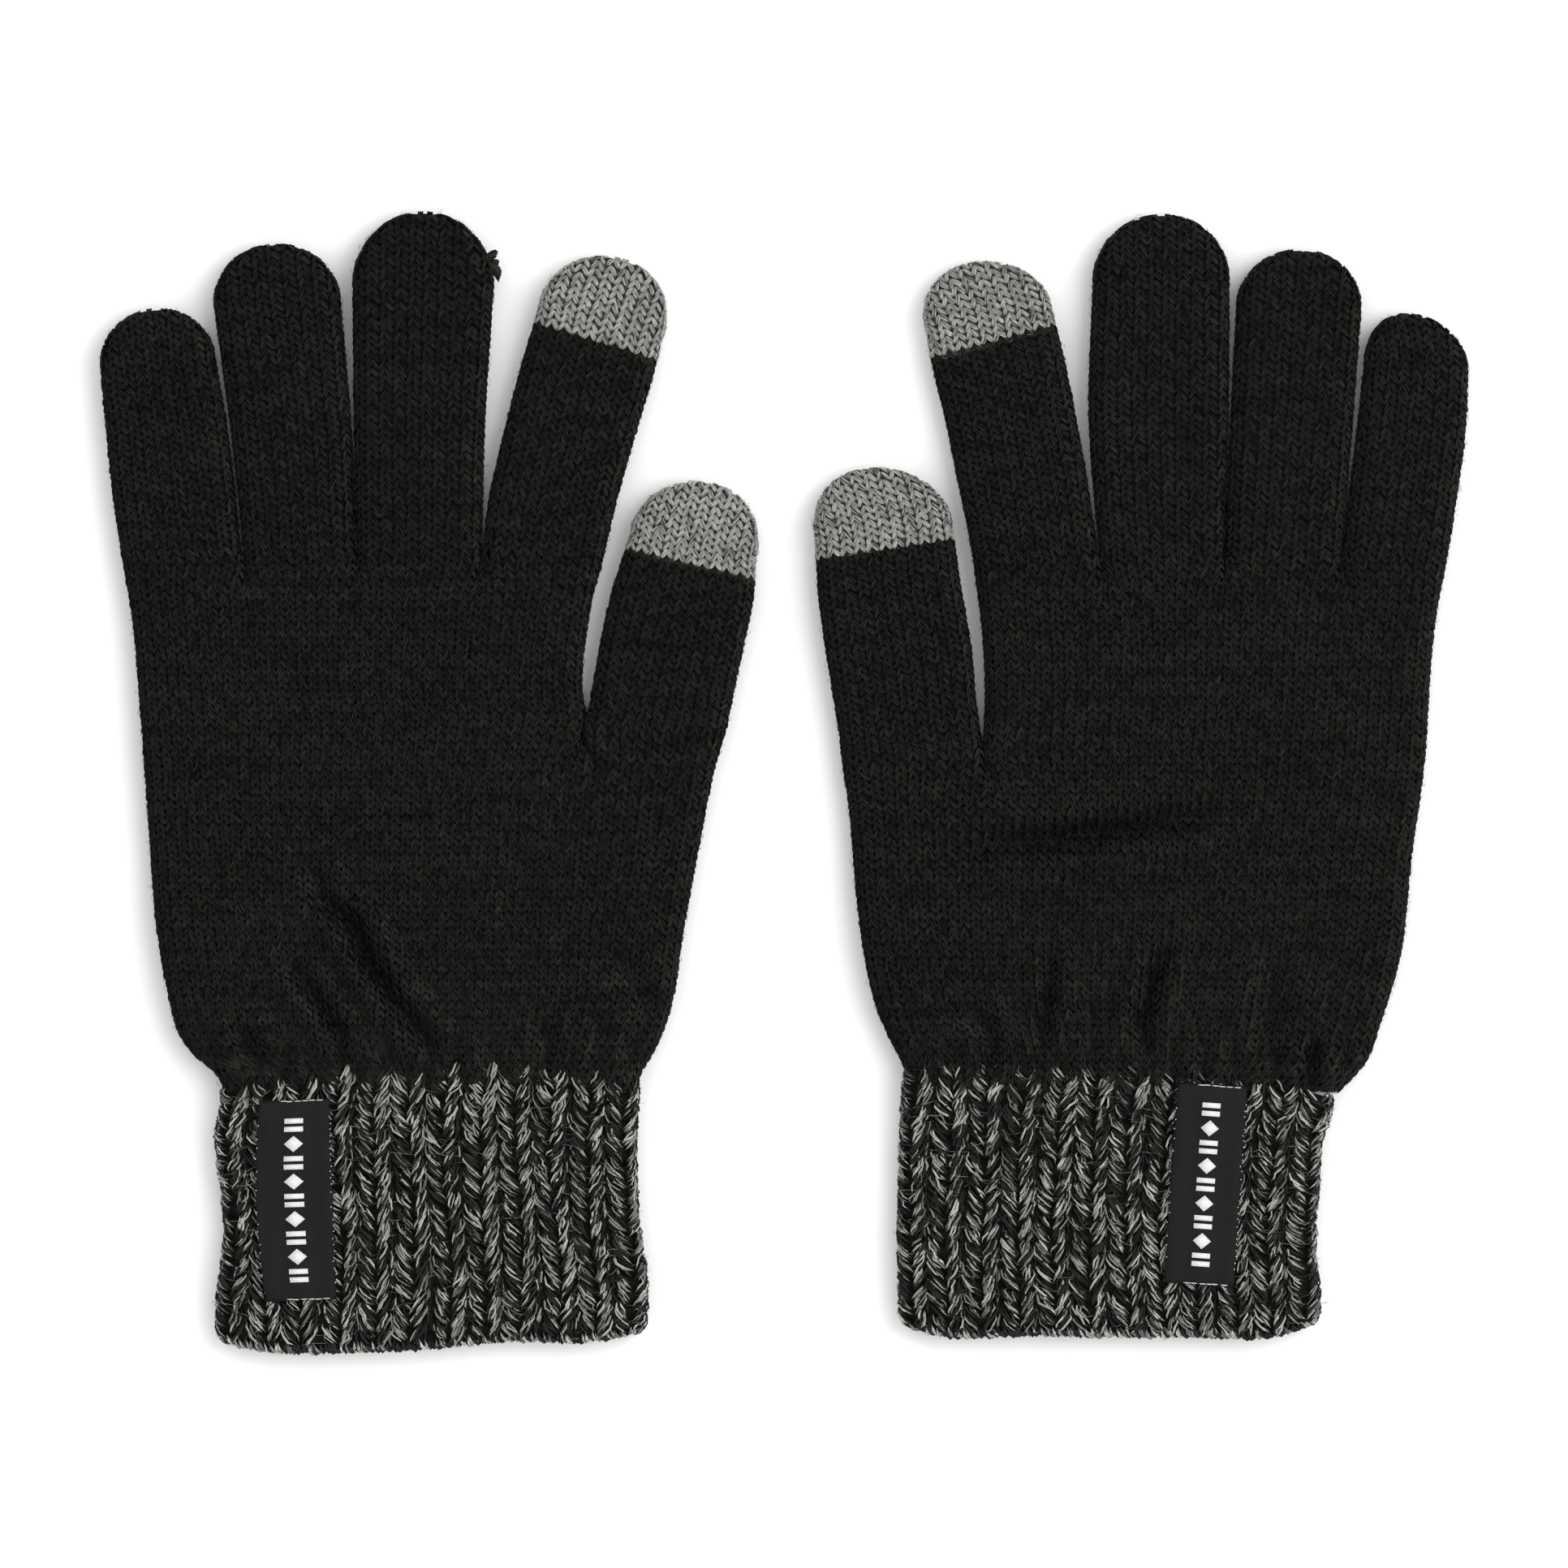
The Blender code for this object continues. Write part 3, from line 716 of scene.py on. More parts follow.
def stitches(work, strip, first, last, slots, strands=3, jitter=0.8, light=0.84, raise_by=0.0):
    """Plain knitting over rows first to last of a strip. Each leg is a bundle of fine strands on the upper
    layer, and a single thicker one on the layer that lies on the table."""
    wale, row = stitch_grid(strip, first, last)
    below = wale > strip.wales
    for hidden in (False, True):
        chosen = below == hidden
        count = 1 if hidden and strands < 4 else strands
        for kind in LEGS:
            leg_bundle(work, strip, wale[chosen], row[chosen], kind, count, slots, jitter, light, raise_by)
    return len(wale)


def leg_bundle(work, strip, wale, row, kind, count, slots, jitter, light, raise_by):
    """One leg of every stitch given, as count strands side by side."""
    across, along, height, half = LEGS[kind]
    n = len(wale)
    drift, slide, lift, size, lean = (RANDOM.normal(0, amount * jitter, n)[:, None]
                                      for amount in (0.04, 0.09, 0.05, 0.08, 0.10))
    lowest = (np.floor(wale / strip.wales) * strip.wales)[:, None]
    a = wale[:, None] + across[None] * (1 + lean) + drift
    a = np.clip(a, lowest + 0.01, lowest + strip.wales - 0.01)
    r = np.minimum(row[:, None] + (along[None] + slide) * COURSE, strip.rows[-1] - 0.05)
    path, run, side, out = lay_frames(strip, a, r, height[None] + lift + raise_by)
    width = half[None] * (1 + size)
    if count == 1:
        work.strands(path, side, out, width, width * THICKNESS, slots[0], 5)
        return
    for p in range(count):
        place = (p + 0.5) / count * 2 - 1
        slip = RANDOM.normal(0, 0.10, n)[:, None, None]
        rise = math.cos(place * 1.2) * 0.22 - 0.08 + RANDOM.normal(0, 0.05, n)[:, None]
        one = path + side * (place * 0.84 * width)[..., None] + out * rise[..., None] + run * slip
        thin = width / count * 0.84 * (1 + RANDOM.normal(0, 0.12, n)[:, None])
        work.strands(one, side, out, thin, thin, pick_slots(slots, n, light), 4 if count > 3 else 3)


def loose_fibres(work, strip, first, last, count, slot, length=2.0, rise=0.35, top_only=False):
    """Fine fibres that lie on the knitting or stand a little off it."""
    last = min(last, strip.rows[-1] - 2.0)
    wale = RANDOM.uniform(0, strip.wales * (1 if top_only else 2), count)
    row = RANDOM.uniform(first, last, count)
    heading = RANDOM.uniform(0, 2 * math.pi, count)
    bend = RANDOM.normal(0, 0.5, count)
    t = np.linspace(-0.5, 0.5, 5)[None]
    size = (length * RANDOM.uniform(0.4, 1.4, count))[:, None]
    turn = heading[:, None] + bend[:, None] * t * 2
    a = wale[:, None] + np.cumsum(np.cos(turn) * size / 5, 1) / WALE
    r = np.clip(row[:, None] + np.cumsum(np.sin(turn) * size / 5, 1), first, strip.rows[-1] - 0.6)
    tall = 0.55 + np.abs(RANDOM.normal(0, rise, count))[:, None] * np.array([0.1, 0.5, 1.0, 0.9, 0.6])[None]
    path, _, side, out = lay_frames(strip, a, r, tall)
    thin = np.full((count, 5), 0.035)
    work.strands(path, side, out, thin, thin, slot, 3)


def rim_stitches(work, strip, shoulder, slots):
    """The short legs that pass over the rim of a fingertip, from its upper layer to its lower one."""
    for way in (0, 1):
        rows = shoulder + np.cumsum(RANDOM.uniform(0.9, 1.3, 15))
        rows = rows[rows < strip.rows[-1] - 0.2]
        lx, ly, rx, ry, loft, _, _, _ = strip.at(rows)
        x, y = (lx, ly) if way == 0 else (rx, ry)
        turn = np.linspace(0.5, -0.5, 5)[None]
        z = MIDDLE + turn * (loft[:, None] * 0.86 + 0.7)
        lean = RANDOM.normal(0.5, 0.3, len(rows))[:, None] * (1 if way else -1)
        path = np.stack([x[:, None] + 0 * turn, y[:, None] + turn * lean, z], -1)
        centre = np.array([(lx[0] + rx[0]) / 2, (ly[0] + ry[0]) / 2])
        away = unit(np.stack([x - centre[0], y - centre[1], 0 * x], -1))
        out = np.repeat(away[:, None], 5, 1)
        path += out * (0.25 - 2.2 * turn**2 * (loft[:, None] / 8))[..., None]
        side = unit(np.cross(unit(np.gradient(path, axis=1)), out))
        width = np.array([0.0, 0.24, 0.27, 0.24, 0.0])[None] * np.ones((len(rows), 1))
        for place in (-0.5, 0.0, 0.5):
            one = path + side * place * 0.8
            work.strands(one, side, out, width, width, pick_slots(slots, len(rows), 0.84), 4)


def inner_sheet(work, strip, wales, rows, slot, depth):
    """A smooth sheet at some depth under the yarn, over the given wales and rows."""
    wale, row = np.meshgrid(wales, rows, indexing="ij")
    points = strip.point(wale, row) - strip.normal(wale, row) * depth
    notes = np.stack([row * 0.3, wale * 0.5, np.full_like(wale, 0.5)], -1)
    work.add(points.reshape(-1, 3), [grid_faces(*wale.shape)], slot, notes.reshape(-1, 3))


def shade_backing(work, strip, first, last, slot, depth=0.25):
    """Painted shade: a smooth, darker sheet just under the stitches, above and below, seen in the gaps."""
    end = min(last, strip.rows[-1])
    rows = np.append(np.arange(first, end - 0.4, 1.2), end)
    if end == strip.rows[-1]:
        rows = np.append(rows[rows < end - 4], np.linspace(end - 4, end, 9))
    for start in (0, strip.wales):
        wales = np.linspace(start + 1e-4, start + strip.wales - 1e-4, strip.wales + 5)
        inner_sheet(work, strip, wales, rows, slot, depth)


print("stitch maker ready")

# %% [markdown]
# ## Pieces of the hand
# The fabric is cut into pieces only where it has to bend: a gathered part over the wrist, the palm, the
# knuckles, and for each digit a root and an end. The cuts follow rows, so nothing shows.

# %% Knitting both hands
KNIT = [BLACK_YARN, BLACK_WORN, BLACK_FIBRE, INNER_SHADE]
CAP = [GREY_YARN, GREY_DARK, GREY_INNER_SHADE]
bends = []


def fold_of(side, name):
    """The height at which a digit folds half way along."""
    return joints[f"{side}_{name}_fold"]["pos_m"][1] / MM


def split_of(side, name):
    """The row where a digit's root piece meets its end piece, midway between its two bends."""
    if name == "thumb":
        return THUMB_SPLIT
    return (KNUCKLE_Y + fold_of(side, name)) / 2


def knit_piece(name, runs, materials=None, **how):
    """One piece from several (strip key, first row, last row) runs."""
    work = Yarnwork()
    materials = materials or KNIT
    total = 0
    for key, first, last in runs:
        strip = strips[key]
        # the last finish is the darker sheet of painted shade under the stitches
        shade_backing(work, strip, first, last, len(materials) - 1)
        total += stitches(work, strip, first, last, (0, 1), **how)
        area = strip.wales * 2 * WALE * (min(last, strip.rows[-1]) - first)
        loose_fibres(work, strip, first, last, int(area * 0.12), 2 if materials is KNIT else 0)
        if materials is KNIT:
            loose_fibres(work, strip, first, last, int(area * 0.22), 0, 1.3, 0.18, top_only=True)
        if last >= strip.rows[-1]:
            rim_stitches(work, strip, GLOVES[key[0]][key[1]]["edges"][-1][0], (0, 1))
    piece = work.build(name, materials)
    print(name, total, "stitches,", len(piece.data.polygons), "faces")
    return piece


for side, glove in GLOVES.items():
    fingers = [n for n in glove["order"] if n != "thumb"]
    hand, cuff = f"{side}_hand", f"{side}_wrist_cuff"
    everything = [(side, n) for n in glove["order"]]
    gather = knit_piece(f"{side}_gathered_wrist_fabric", [(k, KNIT_START, GATHER_TOP) for k in everything])
    palm = knit_piece(f"{side}_palm_fabric", [(k, GATHER_TOP, THUMB_START if k[1] == "thumb" else PALM_TOP)
                                              for k in everything])
    knuckles = knit_piece(f"{side}_knuckle_fabric", [((side, n), PALM_TOP, KNUCKLE_START) for n in fingers])
    bends.append((gather, hand, cuff, (0, -52 * MM, 0), (0, -63.5 * MM, 0)))
    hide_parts(f"{side}_lower_hand")
    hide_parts(f"{side}_upper_hand")
    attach(palm, hand)
    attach(knuckles, hand)
    for name in glove["order"]:
        digit, fold, split = glove[name], fold_of(side, name), split_of(side, name)
        lower, end = f"{side}_{name}_lower", f"{side}_{name}_end"
        start = THUMB_START if name == "thumb" else KNUCKLE_START
        stop = digit.get("grey", PAST_THE_END)
        root = knit_piece(f"{side}_{name}_root_fabric", [((side, name), start, split)])
        outer = knit_piece(f"{side}_{name}_end_fabric", [((side, name), split, stop)])
        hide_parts(f"{side}_{name}_base")
        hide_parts(f"{side}_{name}_outer")
        knuckle = joints[f"{side}_{name}_knuckle"]
        px, py, _ = knuckle["pos_m"]
        ax, ay, _ = knuckle["axis"]
        reach = (6.0 if name == "thumb" else 7.0) * MM
        before = (px + ay * reach, py - ax * reach, 0)
        after = (px - ay * reach, py + ax * reach, 0)
        bends.append((root, hand, lower, before, after))
        zone = 4.5 if name == "thumb" else 6.5
        bends.append((outer, lower, end, (0, (fold - zone) * MM, 0), (0, (fold + zone) * MM, 0)))
        if "grey" in digit:
            tip = knit_piece(f"{side}_{name}_touch_tip", [((side, name), stop, PAST_THE_END)], CAP,
                             strands=4, jitter=0.5, light=0.9, raise_by=0.1)
            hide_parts(f"{side}_{name}_tip")
            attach(tip, end)

# %% [markdown]
# ## The rib cuff
# A rib is knitted with columns that stand out and columns that hide behind them. What shows is a row of thick
# V chains with dark grooves between. The yarn is two strands worked as one, a black and a light grey, so
# each leg is a bundle in which one or the other comes up at random. Both legs of each V curve over the top of
# the rib, the left one more broadly, and a few mostly black strands run down along its right flank as painted
# shade in the groove.

# %% The rib tube
RIBS = 12
RIB_COURSE = 2.75
CUFF_LOFT = 6.4
CUFFS = {  # outline by height, and how far the top and bottom ends stand from level, by share of the width
    "left": {"low": [(-125, -124.6), (-112, -124.6), (-95, -122.9), (-80, -124.0), (-71, -124.7),
                     (-65, -123.6)],
             "high": [(-125, -30.8), (-117, -29.8), (-109, -29.6), (-95, -31.6), (-75, -32.2), (-66, -31.8),
                      (-60, -31.6)],
             "top": [(0, -68.0), (0.1, -66.5), (0.28, -62.9), (0.5, -61.8), (0.75, -62.8), (1, -66.0)],
             "bottom": [(0, -122.4), (0.05, -123.8), (0.3, -124.9), (0.5, -124.0), (0.7, -122.4),
                        (0.9, -122.3), (1, -120.6)]},
    "right": {"low": [(-122, 24.5), (-105, 24.1), (-85, 24.6), (-70, 25.0), (-60, 25.6)],
              "high": [(-122, 117.2), (-112, 117.2), (-100, 116.2), (-82, 116.9), (-73, 117.5),
                       (-64, 120.0)],
              "top": [(0, -62.8), (0.1, -61.8), (0.4, -63.0), (0.7, -64.6), (0.85, -66.4), (1, -69.4)],
              "bottom": [(0, -119.0), (0.06, -120.7), (0.3, -121.1), (0.7, -121.4), (0.93, -120.8),
                         (1, -118.6)]},
}
CUFF_TOP, CUFF_END = -62.0, -122.0


def make_cuff_strip(side):
    """The cuff as one strip whose wales are ribs, with rounded lower corners."""
    shape = CUFFS[side]
    rows = np.arange(CUFF_END - 0.5, CUFF_TOP + 3, 0.5)
    low, high = curve(shape["low"], rows) + 1.1, curve(shape["high"], rows) - 1.1
    near_end = 1 - np.clip((rows - CUFF_END) / 4.0, 0, 1)
    corner = 2.6 * (1 - np.sqrt(1 - near_end**2))
    left, right = np.stack([low + corner, rows], -1), np.stack([high - corner, rows], -1)
    ones = np.ones_like(rows)
    made = Strip(rows, left, right, CUFF_LOFT * ones, ones, ones, RIBS, high - low, rib_height)

    def bow(share, row):
        up = np.clip((row - CUFF_END) / (CUFF_TOP - CUFF_END), 0, 1)
        return (curve(shape["top"], share) - CUFF_TOP) * up**1.5 + (
            curve(shape["bottom"], share) - CUFF_END) * (1 - up) ** 2

    made.bow = bow
    return made


def rib_height(x, y):
    """The slight unevenness of a cuff's upper layer."""
    return 0.35 * bumps(x, y, 12, 24.0)


# across as a share of the rib, along in courses, height and half width in millimetres, strands, light share
RIB_LEGS = {
    "slanting": (np.array([-0.40, -0.39, -0.32, -0.19, -0.05]), np.array([0.98, 0.72, 0.38, 0.00, -0.32]),
                 np.array([-0.1, 0.50, 0.85, 1.00, 0.3]), 0.205, 7, 0.45),
    # the upright leg's larger light share paints light falling on the rib's right side
    "upright": (np.array([0.29, 0.275, 0.21, 0.13, 0.05]), np.array([1.00, 0.64, 0.22, -0.18, -0.56]),
                np.array([0.1, 0.80, 1.05, 1.00, 0.2]), 0.215, 6, 0.55),
    # the flank's mostly black strands are painted shade in the groove beside the rib
    "flank": (np.array([0.44, 0.43, 0.42, 0.41, 0.40]), np.array([0.90, 0.50, 0.12, -0.20, -0.50]),
              np.array([-0.5, -0.1, 0.0, 0.0, -0.4]), 0.22, 3, 0.18),
}


def rib_knit(work, strip):
    """Every stitch of the rib, each as three bundles of strands."""
    rows = np.arange(CUFF_END + 3.5, CUFF_TOP - 1.0, RIB_COURSE)
    wale, row = np.meshgrid(np.arange(2 * strip.wales) + 0.5, rows, indexing="ij")
    wave = 0.05 * np.sin(row / 9.0 + wale * 2.1)
    wale, row, wave = wale.ravel(), row.ravel(), wave.ravel()
    row = row + RANDOM.normal(0, 0.22, len(row))
    n = len(wale)
    for across, along, height, half, strands, light in RIB_LEGS.values():
        lean = RANDOM.normal(0, 0.02, n)[:, None]
        lean = lean + RANDOM.normal(0, 0.035, n)[:, None] * np.linspace(1, -1, 5)
        for strand in range(strands):
            place = (strand + 0.5) / strands * 2 - 1
            a = wale[:, None] + wave[:, None] + across[None] + lean + RANDOM.normal(0, 0.025, (n, 5))
            slide = RANDOM.normal(0, 0.24, n)[:, None]
            r = np.clip(row[:, None] + (along[None] + slide) * RIB_COURSE, strip.rows[0], strip.rows[-1])
            rise = height[None] + 0.28 * math.cos(place * 1.4) + RANDOM.normal(0, 0.14, (n, 5))
            path, _, side, out = lay_frames(strip, a, r, rise)
            fan = place * half * (strands - 1) * np.array([0.75, 1.0, 1.05, 0.95, 0.6])
            path = path + side * fan[None, :, None]
            size = 1 + RANDOM.normal(0, 0.20, n)[:, None]
            width = half * np.array([0, 0.85, 1, 0.9, 0])[None] * size
            pick = (RANDOM.uniform(0, 1, n) < light).astype(int)
            work.strands(path, side, out, width, width * 0.85, pick, 4)
    return n


def rib_edge(work, strip):
    """The cast-on edge: short strands that roll round the open end of the cuff, outside to inside."""
    count = 300
    wale = np.linspace(0.02, 2 * strip.wales - 0.02, count) + RANDOM.normal(0, 0.03, count)
    t = np.array([0.0, 0.25, 0.5, 0.75, 1.0])[None]
    a = wale[:, None] + (t - 0.5) * RANDOM.normal(0.28, 0.10, count)[:, None]
    r = CUFF_END + 3.0 - 2.0 * np.sin(t * math.pi) ** 0.8 + RANDOM.normal(0, 0.18, count)[:, None]
    hill = np.sin(np.mod(wale, 1.0) * math.pi)[:, None]
    lift = 0.45 + 0.6 * hill - t * (1.9 + 0.4 * hill)
    path, _, side, out = lay_frames(strip, a, np.maximum(r, strip.rows[0]), lift)
    width = np.array([0, 0.40, 0.46, 0.40, 0])[None] * (1 + RANDOM.normal(0, 0.15, count))[:, None]
    pick = (RANDOM.uniform(0, 1, count) < 0.42).astype(int)
    work.strands(path, side, out, width, width, pick, 5)


def cuff_lining(work, strip, slot, depth, first):
    """A sheet inside the rib, so that the cuff is a tube with a wall and an open mouth."""
    wales = np.linspace(0, 2 * strip.wales, 6 * strip.wales + 1)
    inner_sheet(work, strip, wales, np.linspace(first, CUFF_TOP + 1.0, 24), slot, depth)


cuff_strips = {}
for side in GLOVES:
    strip = cuff_strips[side] = make_cuff_strip(side)
    work = Yarnwork()
    # both linings take the near-black painted shade finish, for the shaded inside of the tube and its mouth
    cuff_lining(work, strip, 2, 0.15, CUFF_END + 1.8)
    cuff_lining(work, strip, 2, 1.35, CUFF_END + 1.6)
    count = rib_knit(work, strip)
    rib_edge(work, strip)
    loose_fibres(work, strip, CUFF_END + 2, CUFF_TOP, 1100, 0, 2.6, 0.6)
    loose_fibres(work, strip, CUFF_END + 2, CUFF_TOP, 700, 1, 2.6, 0.6)
    cuff = work.build(f"{side}_rib_cuff_knit", [MARL_DARK, MARL_LIGHT, INNER_SHADE])
    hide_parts(f"{side}_cuff")
    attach(cuff, f"{side}_wrist_cuff")
    print(cuff.name, count, "stitches,", len(cuff.data.polygons), "faces")

# %% [markdown]
# ## The woven label
# The label is a strip of black satin-faced ribbon, sewn on with fine pale thread. It lies over the ribs and
# so is not quite flat. Its weave shows as fine slanting lines. The real label carries lettering; here a plain
# running pattern of lozenges and bars fills the same field.

# %% Label cloth
LABELS = {"left": {"tilt": 2.0, "bulge": 1.6}, "right": {"tilt": -4.0, "bulge": 0.3}}
LABEL_WIDTH, LABEL_LENGTH, LABEL_LIFT = 15.2, 43.8, 2.2
LABEL_HALF_THICKNESS = 0.16
MOTIF_LIFT, THREAD_LIFT = 0.36, 0.30  # above the middle of the ribbon


def label_finish():
    """Black ribbon with a fine slanting weave, read from the place on the label that each corner stores."""
    pair, shader, start = new_finish("woven_ribbon", (0.005, 0.005, 0.005), 0.6, 0.14)
    u, v, _ = stored_place(start)
    twill = ((u + v) * 13.0).sine() * 0.5 + 0.5
    pick = ((u * 0.55 - v) * 19.0).sine() * 0.5 + 0.5
    where = start.node("ShaderNodeTexCoord", out=3)
    cloud = start.node("ShaderNodeTexNoise", None, {"Vector": where, "Scale": 300.0})
    shade = (twill * 0.5 + pick * 0.3 + cloud * 0.4 - 0.15).clamp()
    colour = shade.mix((0.0012, 0.0012, 0.0012), (0.010, 0.0099, 0.0097))
    dress(start, shader, colour, (0.62 - twill * 0.2).clamp(), 0.5, 0.00008, twill + pick)
    return pair


RIBBON = label_finish()
MOTIF = yarn_finish("motif_thread", (0.62, 0.62, 0.63), (0.86, 0.86, 0.87), 6.0, 3, 0.6, 0.2, spread=0.1)
THREAD = yarn_finish("sewing_thread", (0.42, 0.42, 0.41), (0.72, 0.72, 0.70), 3.0, 2, 0.7, 0.2)


class LabelPlace:
    """Turns a place on a label, in millimetres from its middle, into a point on the cuff."""

    def __init__(self, side):
        low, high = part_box(f"{side}_label")
        self.centre = [(a + b) / 2 / MM for a, b in zip(low, high)]
        self.base = MIDDLE + CUFF_LOFT / 2 + LABEL_LIFT
        self.turn = math.radians(LABELS[side]["tilt"])
        self.bulge = LABELS[side]["bulge"]
        self.strip = cuff_strips[side]

    def height(self, u, v):
        rib = 0.16 * np.cos(u * 2 * math.pi / RIB_PITCH) + 0.10 * np.sin(v / 6.0 + u / 5.0)
        held = np.exp(-((np.abs(v) - LABEL_LENGTH / 2) / 1.4) ** 2) + 0.8 * np.exp(
            -((np.abs(u) - LABEL_WIDTH / 2) / 1.2) ** 2)
        return self.base + rib + rib_height(self.centre[0] + u, self.centre[1] + v) - 0.45 * held

    def point(self, u, v, lift=0.0):
        side = np.clip(0.5 - u / LABEL_WIDTH, 0, 1)
        u = u - self.bulge * side * np.cos(v / LABEL_LENGTH * math.pi) ** 0.8
        x = self.centre[0] + u * math.cos(self.turn) - v * math.sin(self.turn)
        y = self.centre[1] + u * math.sin(self.turn) + v * math.cos(self.turn)
        return np.stack([x, y, self.height(u, v) + lift], -1)


def label_sheet(place):
    """A closed thin slab with rounded rims."""
    work = Yarnwork()
    us, vs = np.linspace(-0.5, 0.5, 25) * LABEL_WIDTH, np.linspace(-0.5, 0.5, 61) * LABEL_LENGTH
    u, v = np.meshgrid(us, vs, indexing="ij")
    rim = np.minimum(LABEL_WIDTH / 2 - np.abs(u), LABEL_LENGTH / 2 - np.abs(v))
    ragged = 0.12 * np.sin(v * 2.1) * (np.abs(u) > LABEL_WIDTH / 2 - 0.01)
    half = LABEL_HALF_THICKNESS * np.clip(rim / 0.5, 0, 1)
    upper = place.point(u + ragged, v, half)
    lower = place.point(u + ragged, v, -half - 0.02)
    m, n = u.shape
    quads = grid_faces(m, n)
    notes = np.stack([u, v, 0 * u], -1).reshape(-1, 3)
    rimmed = np.concatenate([np.arange(n), np.arange(1, m) * n + n - 1,
                             (m - 1) * n + np.arange(n - 1)[::-1], np.arange(1, m - 1)[::-1] * n])
    after = np.roll(rimmed, -1)
    skirt = np.stack([rimmed, rimmed + m * n, after + m * n, after], -1)
    work.add(np.concatenate([upper.reshape(-1, 3), lower.reshape(-1, 3)]),
             [quads, quads[:, ::-1] + m * n, skirt[:, ::-1]], 0, np.concatenate([notes, notes]))
    return work


def plate(work, place, outline, thick=0.10):
    """A flat raised shape on the label, from its outline of (u, v) points running anticlockwise."""
    u, v = np.array(outline).T
    top = place.point(u, v, MOTIF_LIFT + thick)
    foot = place.point(u, v, 0.05)
    n = len(u)
    ring = np.arange(n)
    after = (ring + 1) % n
    walls = np.stack([ring + n, after + n, after, ring], -1)
    lid = np.array([ring])
    notes = np.stack([u, v, np.full(n, 0.5)], -1) * 0.3
    work.add(np.concatenate([top, foot]), [walls, lid, lid[:, ::-1] + n], 0, np.concatenate([notes, notes]))


def motif(place):
    """A running pattern of lozenges and pairs of bars along the middle of the label."""
    work = Yarnwork()
    half, tall, bar = 1.95, 1.75, 0.55  # half sizes of the figures, and of a bar's height
    for k in range(9):
        v = (k - 4) * 4.1
        if k % 2 == 0:
            for w in (v - 0.9, v + 0.9):
                plate(work, place, [(-half, w - bar), (half, w - bar), (half, w + bar), (-half, w + bar)])
        else:
            plate(work, place, [(0, v - tall), (half, v), (0, v + tall), (-half, v)])
    return work


def sew(work, place, start, end, gap, length, loose=0.12):
    """A line of small thread stitches from one place on the label to another."""
    (u0, v0), (u1, v1) = start, end
    total = math.hypot(u1 - u0, v1 - v0)
    count = max(int(total / gap), 1)
    t = (np.arange(count) + 0.5) / count + RANDOM.normal(0, 0.1 / count, count)
    span = np.linspace(-0.5, 0.5, 5)[None] * length
    u = u0 + (u1 - u0) * t[:, None] + (u1 - u0) / total * span + RANDOM.normal(0, loose, (count, 1))
    v = v0 + (v1 - v0) * t[:, None] + (v1 - v0) / total * span + RANDOM.normal(0, loose, (count, 1))
    path = place.point(u, v, THREAD_LIFT)
    path[..., 2] -= (np.abs(span) / length * 2) ** 2 * 0.25
    out = np.zeros_like(path)
    out[..., 2] = 1.0
    side = np.cross(unit(np.gradient(path, axis=1)), out)
    width = np.array([0, 0.13, 0.15, 0.13, 0])[None] * np.ones((count, 1))
    work.strands(path, side, out, width, width, 0, 5)


for side in GLOVES:
    place = LabelPlace(side)
    cloth = label_sheet(place).build(f"{side}_label_cloth", [RIBBON])
    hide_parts(f"{side}_label")
    marks = motif(place).build(f"{side}_label_motif", [MOTIF])
    threads = []
    half = LABEL_WIDTH / 2
    for end, v in (("top", LABEL_LENGTH / 2 - 0.3), ("bottom", -LABEL_LENGTH / 2 + 0.3)):
        work = Yarnwork()
        sew(work, place, (-3.4, v), (half - 1.5, v), 1.5, 1.9, 0.05)
        sew(work, place, (half - 0.15, v * 0.05), (half - 0.15, v * 0.86), 1.25, 0.5)
        sew(work, place, (-half + 0.1, v * 0.05), (-half + 0.1, v * 0.8), 2.2, 0.45)
        line = work.build(f"{side}_label_thread_{end}", [THREAD])
        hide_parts(f"{side}_label_stitch_{end}")
        threads.append(line)
    for piece in (cloth, marks, *threads):
        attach(piece, f"{side}_wrist_cuff")
print("labels", LABEL_WIDTH, "x", LABEL_LENGTH)

# %% [markdown]
# ## The loose yarn end
# Where the left middle fingertip was finished, a short tuft of cut yarn is left at its side. It is a few
# stubby ends side by side, each a bundle of fine strands.

# %% Yarn tuft
def tuft(name, stubs):
    """Short ends of yarn, each from its start, bend, end and radius: eight strands round a middle one."""
    work = Yarnwork()
    for start, bend, end, radius in stubs:
        a, b, c = (np.array(q, float) for q in (start, bend, end))
        t = np.linspace(0, 1, 6)[:, None]
        spine = (1 - t) ** 2 * a + 2 * t * (1 - t) * b + t**2 * c
        for k in range(9):
            angle = k * 2 * math.pi / 8
            reach = radius * (0.62 if k < 8 else 0.0)
            shift = np.array([0.3 * math.cos(angle), math.cos(angle), math.sin(angle)]) * reach
            path = (spine + shift + RANDOM.normal(0, 0.05, (6, 3)) * t)[None]
            run = unit(np.gradient(path, axis=1))
            up = np.zeros_like(path)
            up[..., 2] = 1.0
            side = unit(np.cross(run, up))
            width = np.array([[0.0, 0.45, 0.5, 0.55, 0.5, 0.0]]) * radius
            work.strands(path, side, np.cross(side, run), width, width, 0, 5)
    return work.build(name, [BLACK_YARN])


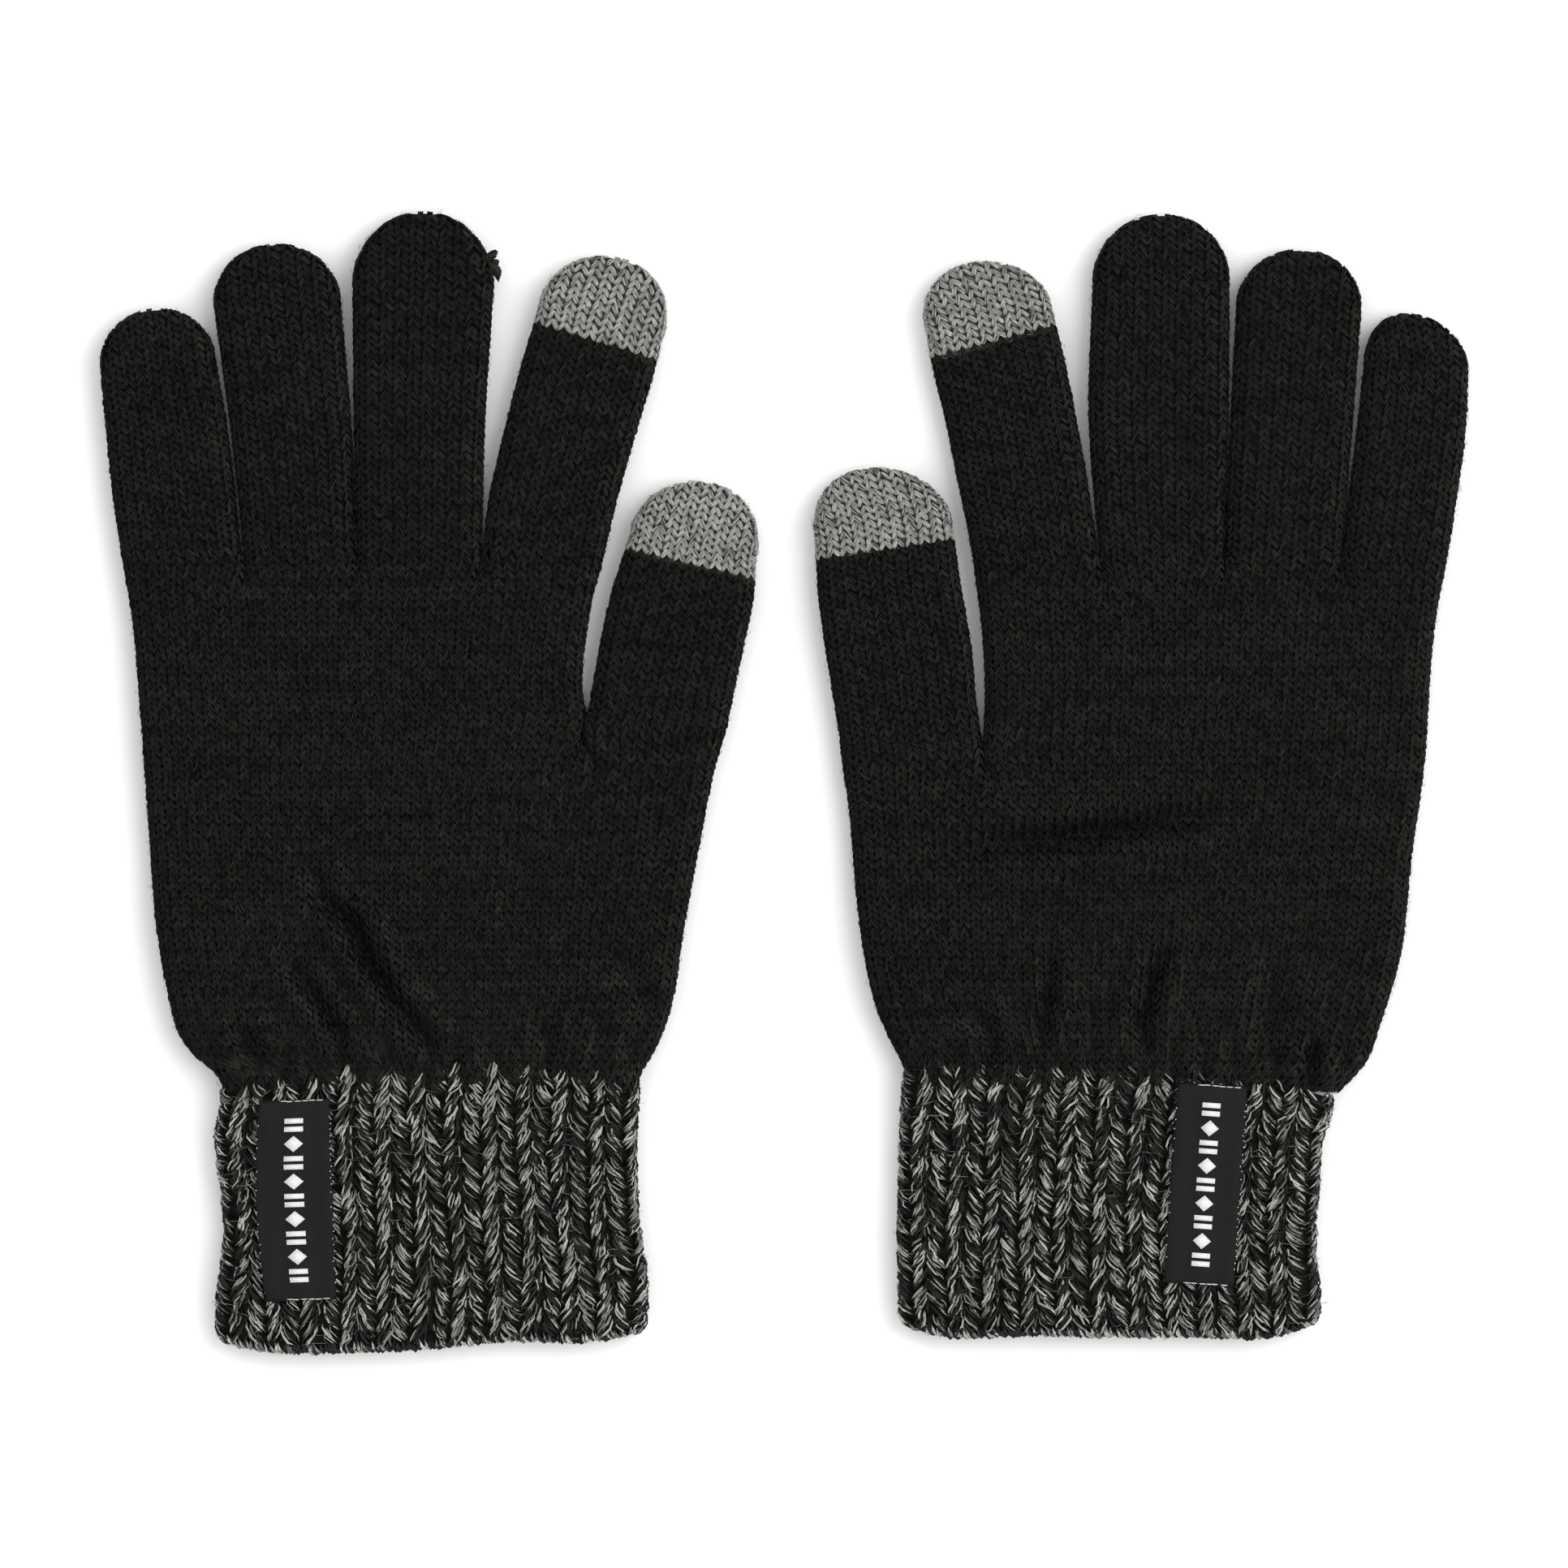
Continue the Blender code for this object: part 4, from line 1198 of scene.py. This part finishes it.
end_piece = tuft("left_yarn_tuft", [
    ((-66.2, 113.6, 4.8), (-64.4, 116.2, 5.0), (-62.9, 115.6, 4.8), 0.95),
    ((-65.6, 113.4, 4.4), (-63.2, 114.2, 4.6), (-62.6, 113.4, 4.4), 0.8),
    ((-65.4, 112.8, 4.5), (-62.6, 113.2, 4.6), (-62.4, 110.2, 4.4), 1.05),
])
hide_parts("left_yarn_end")
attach(end_piece, "left_middle_end")
print("tuft", len(end_piece.data.polygons), "faces")

# %% Baking the transforms of the pieces in the bends list
for piece, first, second, start, end in bends:
    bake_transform(piece)
print("bending pieces", len(bends))

# %% [markdown]
# ## Table, light and camera
# The gloves lie on a plain white table under broad soft light, seen from straight above.

# %% Stage
VIEW_WIDTH = 0.3431
CAMERA_HEIGHT = 2.4


def plain_material(name, colour, roughness):
    made = bpy.data.materials.new(name)
    made.use_nodes = True
    shader = made.node_tree.nodes["Principled BSDF"]
    shader.inputs["Base Color"].default_value = (*colour, 1)
    shader.inputs["Roughness"].default_value = roughness
    return made


bpy.ops.mesh.primitive_plane_add(size=6, location=(0, 0, -0.0003))
table = bpy.context.object
table.name = "table_top"
table.data.materials.append(plain_material("table_white", (0.96, 0.96, 0.96), 0.8))

world = bpy.context.scene.world or bpy.data.worlds.new("studio")
bpy.context.scene.world = world
world.use_nodes = True
world.node_tree.nodes["Background"].inputs[0].default_value = (1, 1, 1, 1)
world.node_tree.nodes["Background"].inputs[1].default_value = 1.04


def soft_light(name, place, size, power):
    data = bpy.data.lights.new(name, "AREA")
    data.size = size
    data.energy = power
    made = bpy.data.objects.new(name, data)
    made.location = place
    bpy.context.scene.collection.objects.link(made)
    direction = -made.location
    made.rotation_euler = direction.to_track_quat("-Z", "Y").to_euler()
    return made


soft_light("key_light", (1.3, 0.35, 1.9), 1.5, 26)

camera_data = bpy.data.cameras.new("camera")
camera_data.sensor_width = 36
camera_data.lens = 36 * CAMERA_HEIGHT / VIEW_WIDTH
camera_data.clip_end = 20
camera = bpy.data.objects.new("camera", camera_data)
camera.location = (-0.0003, 0, CAMERA_HEIGHT)
bpy.context.scene.collection.objects.link(camera)
bpy.context.scene.camera = camera
bpy.context.scene.view_settings.view_transform = "Standard"
print("camera lens", round(camera_data.lens, 1))
